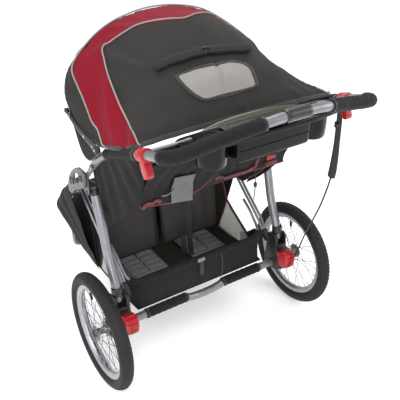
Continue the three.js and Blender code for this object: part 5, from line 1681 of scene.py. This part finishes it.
    # stiff seat side with a piped edge
    so_ = rounded([(-385, 516), (-160, 474), (-60, 560), (50, 690), (120, 800), (112, 836), (20, 800), (-60, 745), (-100, 690), (-140, 640), (-240, 596), (-376, 572)], 14)
    sp_ = slab("sp", so_, s * 271.2, s * 274.8, "black", bevel=1.2)
    pl = smooth_path(np.array([P(s * 273, *q) for q in so_]), 200, closed=True)
    o = merge(f"seat_side_{side}_panel", [sp_, sweep("pp", pl, 0.0030, "red_binding" if s < 0 else "binding", n=10, closed=True),
                                          stitches("st", pl * [1, 1, 1] + np.array([s * 0.002, 0, 0]), np.array([s * 1.0, 0, 0]), "stitch", pitch=0.006)])
    done(o, "front_frame", "fabric_black", f"seat_side_{side}")
    soft(o)

# ------------------------------------------------------------------ footwell, nets and straps
shell = [(-151, 214), (-200, 211), (-300, 210.5), (-400, 221), (-488, 231), (-500, 241), (-520, 284), (-539, 323), (-536, 334), (-500, 401), (-450, 446), (-401, 487)]
rows = []
for x in np.linspace(262, -262, 9):
    rows.append([(x, y, z + (1.5 * math.cos(x * 0.04) if 300 > z else 0)) for y, z in shell])
fws = loft_cloth("footwell_liner", rows, 150, 120, "olive", amp=0.0022, seed=11.0, offset=0, pin=0)
done(fws, "front_frame", "fabric_black", "footwell")
for s, side in ((1, "left"), (-1, "right")):
    a = [(s * 262, -538, 328), (s * 262, -500, 400), (s * 262, -400, 484), (s * 262, -300, 466), (s * 262, -238, 357)]
    b = [(s * 262, -500, 240), (s * 262, -470, 229), (s * 262, -400, 222), (s * 262, -340, 215), (s * 262, -286, 211)]
    o = loft_cloth(f"footwell_side_{side}", [a, b], 80, 50, "black" if s > 0 else "olive", amp=0.002, seed=2.0 * s, offset=0)
    done(o, "front_frame", "fabric_black")
    a = [(s * 259, -237, 357), (s * 259, -190, 330), (s * 259, -140, 301), (s * 259, -92, 274)]
    b = [(s * 259, -286, 211), (s * 259, -230, 211), (s * 259, -170, 213), (s * 259, -122, 218)]
    o = loft_cloth(f"side_net_{side}", [a, b], 50, 40, "side_net", amp=0.0016, seed=4.0 * s, thick=0.0008, offset=0)
    done(o, "front_frame", "mesh")
    f_ = smooth_path(PP([(s * 259.5, -237, 357), (s * 259.5, -252, 300), (s * 259.5, -274, 250), (s * 259.5, -286, 212)]), 50)
    r_ = smooth_path(PP([(s * 259.5, -240, 362), (s * 259.5, -190, 331), (s * 259.5, -140, 302), (s * 259.5, -92, 275)]), 50)
    d_ = smooth_path(PP([(s * 259.5, -286, 212), (s * 259.5, -230, 212), (s * 259.5, -170, 214), (s * 259.5, -122, 219)]), 50)
    up_ = smooth_path(PP([(s * 259.5, -237, 357), (s * 262, -262, 412), (s * 262, -300, 466)]), 40)
    tr_ = [sweep("f", f_, 0.0030, "red_binding", n=10, roundcap=True), ribbon("r", r_, 0.016, 0.0022, "binding", (1, 0, 0)), ribbon("d", d_, 0.010, 0.0022, "binding", (1, 0, 0)),
           sweep("u", up_, 0.0030, "red_binding", n=10, roundcap=True),
           stitches("st", r_ + np.array([-s * 0.0013, 0, 0.004]), np.array([-s * 1.0, 0, 0]), "stitch_light", pitch=0.006)]
    o = merge(f"side_net_{side}_trim", tr_)
    done(o, "front_frame", "fabric_black")
    # outer side cloth: over the front tube and down to the floor of the footwell
    r1 = [(s * 314, -270, 590), (s * 313, -365, 519), (s * 307, -432, 452), (s * 294, -492, 392), (s * 258, -545, 352)]
    r2 = [(s * 330, -276, 603), (s * 329, -375, 533), (s * 322, -443, 463), (s * 305, -503, 404), (s * 265, -563, 368)]
    r3 = [(s * 347, -268, 588), (s * 346, -367, 517), (s * 338, -432, 450), (s * 322, -494, 392), (s * 280, -556, 350)]
    r4 = [(s * 316, -276, 410), (s * 314, -384, 374), (s * 308, -442, 344), (s * 297, -482, 318), (s * 274, -522, 306)]
    r5 = [(s * 268, -288, 211), (s * 268, -390, 221), (s * 268, -450, 227), (s * 267, -484, 233), (s * 267, -500, 241)]
    o = loft_cloth(f"footwell_outer_side_{side}", [r1, r2, r3, r4, r5], 90, 110, "black", amp=0.0034, fold=(3.4, 0.0028, 0.1), seed=51.0 * s, offset=0)
    done(o, "front_frame", "fabric_black")
    # calf panels under each seat front, apart in the middle
    tc = [(s * x, -336, 498) for x in (260, 190, 120, 60, 16)]
    bc = [(s * x, -302, 214) for x in (260, 190, 120, 60, 16)]
    # calf panels in the paler cloth: painted light where they sit in the seats' shade
    o = loft_cloth(f"calf_panel_{side}", [tc, bc], 70, 80, "charcoal", amp=0.0035, fold=(3.2, 0.0018, 0.1), seed=21 * s, offset=0)
    done(o, "front_frame", "fabric_black")
    ed = []
    for xx in (15, 261):
        ed.append(ribbon("ce", smooth_path(PP([(s * xx, -336, 498), (s * xx, -319, 356), (s * xx, -302, 214)]), 40), 0.012, 0.003, "binding", (0, 1, 0)))
    o = merge(f"calf_panel_{side}_edges", ed)
    done(o, "front_frame", "fabric_black")

# straps between the seat frame and the basket, with a pull tab and a buckle
stp = []
p_ = smooth_path(PP([(-36, -170, 462), (-38, -166, 420), (-44, -168, 340), (-50, -166, 260), (-52, -164, 222)]), 60)
stp.append(ribbon("s1", p_, 0.020, 0.0018, "webbing", (0.2, 1, 0)))
p_ = smooth_path(PP([(-12, -168, 330), (-16, -162, 300), (-18, -160, 262), (-19, -158, 246)]), 30)
stp.append(ribbon("tab", p_, 0.022, 0.0016, "webbing", (0.3, 1, 0)))
stp.append(boxy("tb", 0, -26, -166, -160, 328, 334, "plastic", bevel=2))
o = merge("footwell_straps", stp)
done(o, "front_frame", "fabric_black")

# ------------------------------------------------------------------ basket
wall_t = [(265, -148, 262), (266, -112, 280), (266, -88, 300), (265, -62, 322), (256, -38, 320), (236, -22, 318), (120, -18, 317), (0, -18, 317), (-120, -18, 317), (-236, -22, 318), (-256, -38, 320), (-265, -62, 322), (-266, -88, 300), (-266, -112, 280), (-265, -148, 262)]
wall_b = [(262, -142, 216), (263, -112, 216), (262, -80, 216), (261, -46, 216.5), (252, -20, 217), (232, -10, 217), (118, -9, 216), (0, -9, 215), (-118, -9, 216), (-232, -10, 217), (-252, -20, 217), (-261, -46, 216.5), (-262, -80, 216), (-263, -112, 216), (-262, -142, 216)]
wall_m = [((a[0] + b[0]) / 2 * 1.003, (a[1] + b[1]) / 2 + (5 if abs(a[0]) < 250 else 0), (a[2] + b[2]) / 2) for a, b in zip(wall_t, wall_b)]
bw = loft_cloth("basket_wall", [wall_t, wall_m, wall_b], 260, 54, "black", amp=0.0030, seed=31.0, fold=(7.0, 0.0012, 0.05), offset=0, pin=0.15)
done(bw, "rear_frame", "fabric_black", "basket")
fa = [(x, -142, 215) for x in np.linspace(262, -262, 9)]
fb = [(x, -9, 215) for x in np.linspace(258, -258, 9)]
fm_ = [(x, -76, 212.5) for x in np.linspace(262, -262, 9)]
o = loft_cloth("basket_floor", [fa, fm_, fb], 110, 36, "black", amp=0.002, seed=37.0, offset=0)
done(o, "rear_frame", "fabric_black")
hs = [p for p in hoop if abs(p[0]) < 0.2665 and p[1] * 1000 - SHIFT > -70]
hs = smooth_path(np.array(hs)[::2], 260)
k = np.arange(260)
sl_ = [sweep("slv", hs, 0.0112 + 0.0006 * np.sin(k * 0.33) + 0.0005 * np.sin(k * 0.81 + 1), "black", n=20)]
sl_.append(stitches("st", hs + np.array([0, 0.0045, -0.0150]), np.array([0, 1.0, 0]), "stitch_light", pitch=0.0065, r=0.00045))
for xx in (-78,):
    sm_ = smooth_path(PP([(xx, -9, 312), (xx, -5.5, 290), (xx - 1, -4, 262), (xx - 1, -4, 236), (xx, -7, 218)]), 40)
    sl_.append(ribbon("vs", sm_, 0.005, 0.0022, "binding", (0, 1, 0)))
bkx = 8
sl_.append(boxy("bk", bkx - 14, bkx + 14, -9.5, -4, 316, 329, "piping", bevel=2.2))
sl_.append(boxy("bk2", bkx - 9, bkx + 9, -5, -2.5, 319, 326, "silver", bevel=1.2))
sl_.append(ribbon("bs", smooth_path(PP([(bkx, -7.5, 316), (bkx, -4, 290), (bkx, -3.5, 262)]), 20), 0.016, 0.0016, "webbing", (0, 1, 0)))
o = merge("basket_sleeve_and_straps", sl_)
done(o, "rear_frame", "fabric_black")
for s, side in ((1, "left"), (-1, "right")):
    k = np.arange(80)
    pa = smooth_path(PP([(s * 239, 4, 197.6), (s * 200, 4, 198), (s * 105, 4, 198), (s * 84, 3, 197), (s * 75, 2.6, 194)]), 80)
    rr = 0.0166 + 0.0005 * np.sin(k * 0.6) + 0.0004 * np.sin(k * 1.7)
    rr[:2] = rr[-2:] = 0.0152
    done(merge(f"axle_sleeve_{side}", [sweep("as", pa, rr, "black", n=28), sweep("ah", pa[2:6], 0.0174, "binding", n=28), sweep("ah", pa[74:78], 0.0174, "binding", n=28)]), "rear_frame", "fabric_black")

# ------------------------------------------------------------------ footplates
for s, side in ((1, "left"), (-1, "right")):
    pl_ = [boxy("bd", s * 52, s * 200, -290, -158, 214.2, 219.4, "plate", bevel=2.2)]
    for r_ in range(4):
        for c_ in range(2):
            x0 = s * (61 + 68 * c_)
            pl_.append(boxy("sl", x0, x0 + s * 62, -284 + 31 * r_, -262 + 31 * r_, 218.5, 225.8, "plate", bevel=2.4))
            for k_ in range(3):
                yy = -279 + 31 * r_ + 6 * k_
                pl_.append(sweep("gr", [P(x0 + s * 6, yy, 225.9), P(x0 + s * 56, yy, 225.9)], 0.0011, "plate", n=6, roundcap=True))
    for (xx, yy) in ((56, -286), (56, -162), (196, -286), (196, -162)):
        pl_.append(lathe("sc", [(0, 0), (0, 0.003), (0.0008, 0.0026), (0.0012, 0)], P(s * xx, yy, 219.4), (0, 0, 1), "steel", n=16))
    done(merge(f"footplate_{side}_moulded", pl_), "front_frame", "footplate", f"footplate_{side}")

# ------------------------------------------------------------------ fork and its fittings
cy = (-685 + SHIFT) / 1000
fo = [lathe("st", [(0.316, 0), (0.316, 0.0103), (0.402, 0.0103), (0.402, 0)], (0, cy, 0), (0, 0, 1), "steel", n=32),
      lathe("cap", [(0.3965, 0), (0.3965, 0.0150), (0.399, 0.0160), (0.4025, 0.0158), (0.405, 0.0135), (0.406, 0.009), (0.406, 0)], (0, cy, 0), (0, 0, 1), "plastic", n=40),
      boxy("cr", -48, 48, -702, -668, 310.2, 321.3, "silver", bevel=3.5, seg=4)]
for s in (1, -1):
    fo.append(slab("bl", rounded([(-700, 318), (-697, 250), (-654, 160), (-650, 140), (-638, 136), (-628, 144), (-628, 164), (-669, 256), (-670, 318)], 7), s * 38.2, s * 45.8, "silver", bevel=2.6, seg=4, holes=[circle(-640, 152, 5.3, 20)]))
    fo.append(lathe("drop", [(0, 0.0053), (0, 0.0105), (0.0016, 0.0112), (0.0022, 0.0098), (0.0022, 0.0053)], P(s * 45.4, -640, 152), (s, 0, 0), "steel", n=32, closed=True))
    fo.append(lathe("bolt", [(0, 0), (0, 0.0058), (0.0035, 0.0058), (0.0045, 0.0035), (0.0045, 0)], P(s * 45.4, -685, 312), (s, 0, 0), "steel", n=6, auto=20))
fo.append(slab("gus", rounded([(-698, 310), (-672, 310), (-676, 296), (-692, 296)], 4), -37.5, 37.5, "silver", bevel=2))
done(merge("front_fork_welded", fo), "fork", "tube", "front_fork")
lv = [sweep("lb", PP([(-9, -709, 318), (9, -709, 318)]), 0.0048, "steel", n=20), slab("lp", rounded([(-713, 317), (-709, 313), (-731, 286), (-737, 290)], 2), -8, 8, "redp", bevel=1.4)]
done(merge("swivel_lock_lever_moulded", lv), "swivel_lock", "red_plastic", "swivel_lock_lever")
fx = [sweep("fa", PP([(-56, -640, 152), (50.2, -640, 152)]), 0.0048, "steel", n=24), lathe("fh", [(-0.058, 0), (-0.058, 0.006), (-0.0565, 0.0086), (-0.0505, 0.009), (-0.0495, 0.0078), (-0.0495, 0)], (0, (-640 + SHIFT) / 1000, 0.152), (1, 0, 0), "steel", n=36)]
done(merge("front_axle_turned", fx), "fork", "steel", "front_axle")
qr = [lathe("qh", [(0.0545, 0), (0.0545, 0.0076), (0.0556, 0.0086), (0.0586, 0.0086), (0.0592, 0.0076), (0.0592, 0)], (0, (-640 + SHIFT) / 1000, 0.152), (1, 0, 0), "steel", n=36),
      slab("ql", rounded([(-645, 152), (-635, 152), (-634, 180), (-632, 200), (-636, 207), (-644, 207), (-648, 200), (-646, 180)], 4), 55.2, 58.8, "zinc", bevel=1.4),
      sweep("qe", PP([(57, -640, 190), (57.2, -640, 206)]), [0.0056, 0.0050], "plastic", n=16, flat=0.5, roundcap=True, up=(1, 0, 0))]
done(merge("front_quick_release_cam", qr), "quick_release", "steel", "front_quick_release")

# ------------------------------------------------------------------ safety tether
tp = [(-347, 207, 886), (-351, 205, 868), (-353, 205, 800), (-353, 205, 700), (-352, 200, 632), (-354, 170, 520), (-355, 137.7, 434.3), (-354, 111.2, 365.7), (-352, 85.2, 283.6), (-350, 66, 232), (-344, 58, 206), (-334, 50, 195), (-318, 34, 179), (-306, 16, 179)]
tw = smooth_path(PP(tp), 200)
ts_mm = np.concatenate([[0], np.cumsum(np.linalg.norm(np.diff(tw, axis=0), axis=1))]) * 1000
TE = int(np.searchsorted(ts_mm, 255.0))
nm_ = np.tile(np.array([1.0, 0.0, 0.0]), (200, 1))
tws = 0.55 * np.sin(ts_mm / 663.0 * 5.2 + 0.4)
nm_ = np.stack([np.cos(tws), np.sin(tws), 0 * tws], 1)
wz = np.interp(ts_mm, [0, 132, 225, 253, 257, 420, 560, 900], [0.017, 0.018, 0.025, 0.025, 0.0055, 0.0075, 0.0095, 0.0095])
te = [ribbon("tw", tw, wz, 0.0020, "webbing", nm_), ribbon("tl", tw[:TE] + np.array([-0.0026, 0, 0]), wz[:TE] * 0.96, 0.0022, "webbing", nm_[:TE])]
te.append(stitches("ts", tw[20:TE - 3] + nm_[20:TE - 3] * -0.0036, -nm_[20:TE - 3], "stitch_light", pitch=0.006, r=0.0004))
te.append(boxy("adj", -361, -348, 190, 210, 806, 826, "plastic", bevel=2.5))
te.append(boxy("adj2", -362, -347, 193, 207, 812, 820, "zinc", bevel=1.5))
te.append(ribbon("rt", smooth_path(PP([(-352, 203, 884), (-354, 204, 868), (-354, 204, 852)]), 20), 0.016, 0.0024, "red_binding", (1, 0.1, 0)))
ang = np.linspace(0, 2 * pi, 30)
lp_ = np.array([P(-335 - 16.5 * math.cos(a), 207 + 0 * a, 907) + np.array([0, 0.0, 0.0165 * math.sin(a)]) for a in ang])
te.append(sweep("lp", lp_, 0.0022, "webbing", n=10))
o = merge("safety_tether_webbing", te)
done(o, "handle_frame", "webbing", "safety_tether")
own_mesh(o)
# ------------------------------------------------------------------ floor and light
fl_m, nt, b = mat_new("studio_floor")
b.inputs["Base Color"].default_value = (0.86, 0.86, 0.86, 1)
b.inputs["Roughness"].default_value = 0.7
b.inputs["Emission Color"].default_value = (1, 1, 1, 1)
b.inputs["Emission Strength"].default_value = 0.27
bump(nt, b, noise(nt, coords(nt), 3.0, 2.0, 0.5), 0.02, 0.01)
floor_o = mesh_obj("floor", [(-8, -8, 0), (8, -8, 0), (8, 8, 0), (-8, 8, 0)], [[0, 1, 2, 3]], fl_m, smooth=False)


def area_light(name, loc, target, size, size_y, power, colour=(1, 1, 1)):
    d = bpy.data.lights.new(name, "AREA")
    d.shape = "RECTANGLE"
    d.size, d.size_y, d.energy, d.color = size, size_y, power, colour
    o = link(bpy.data.objects.new(name, d))
    o.location = loc
    o.rotation_euler = (Vector(target) - Vector(loc)).to_track_quat("-Z", "Y").to_euler()
    return o


area_light("key", (1.4, 1.6, 3.6), (0, 0, 0.5), 2.6, 2.6, 92)
area_light("camera_side", (1.5, 2.6, 1.1), (-0.05, 0.0, 0.4), 1.0, 1.0, 26)
area_light("fill", (-2.8, 1.8, 2.0), (0, 0, 0.5), 2.4, 2.0, 42)
area_light("front", (2.8, 0.2, 1.2), (0, 0, 0.45), 1.8, 1.6, 22)
area_light("top", (-0.6, -1.2, 3.4), (0, 0, 0.6), 2.4, 2.4, 46)
world = bpy.data.worlds.new("world")
bpy.context.scene.world = world
world.use_nodes = True
bg = world.node_tree.nodes["Background"]
bg.inputs[0].default_value = (0.985, 0.99, 1.0, 1)
bg.inputs[1].default_value = 0.75
sc = bpy.context.scene
sc.view_settings.view_transform = "Standard"
sc.view_settings.look = "None"
sc.view_settings.exposure = 0.0
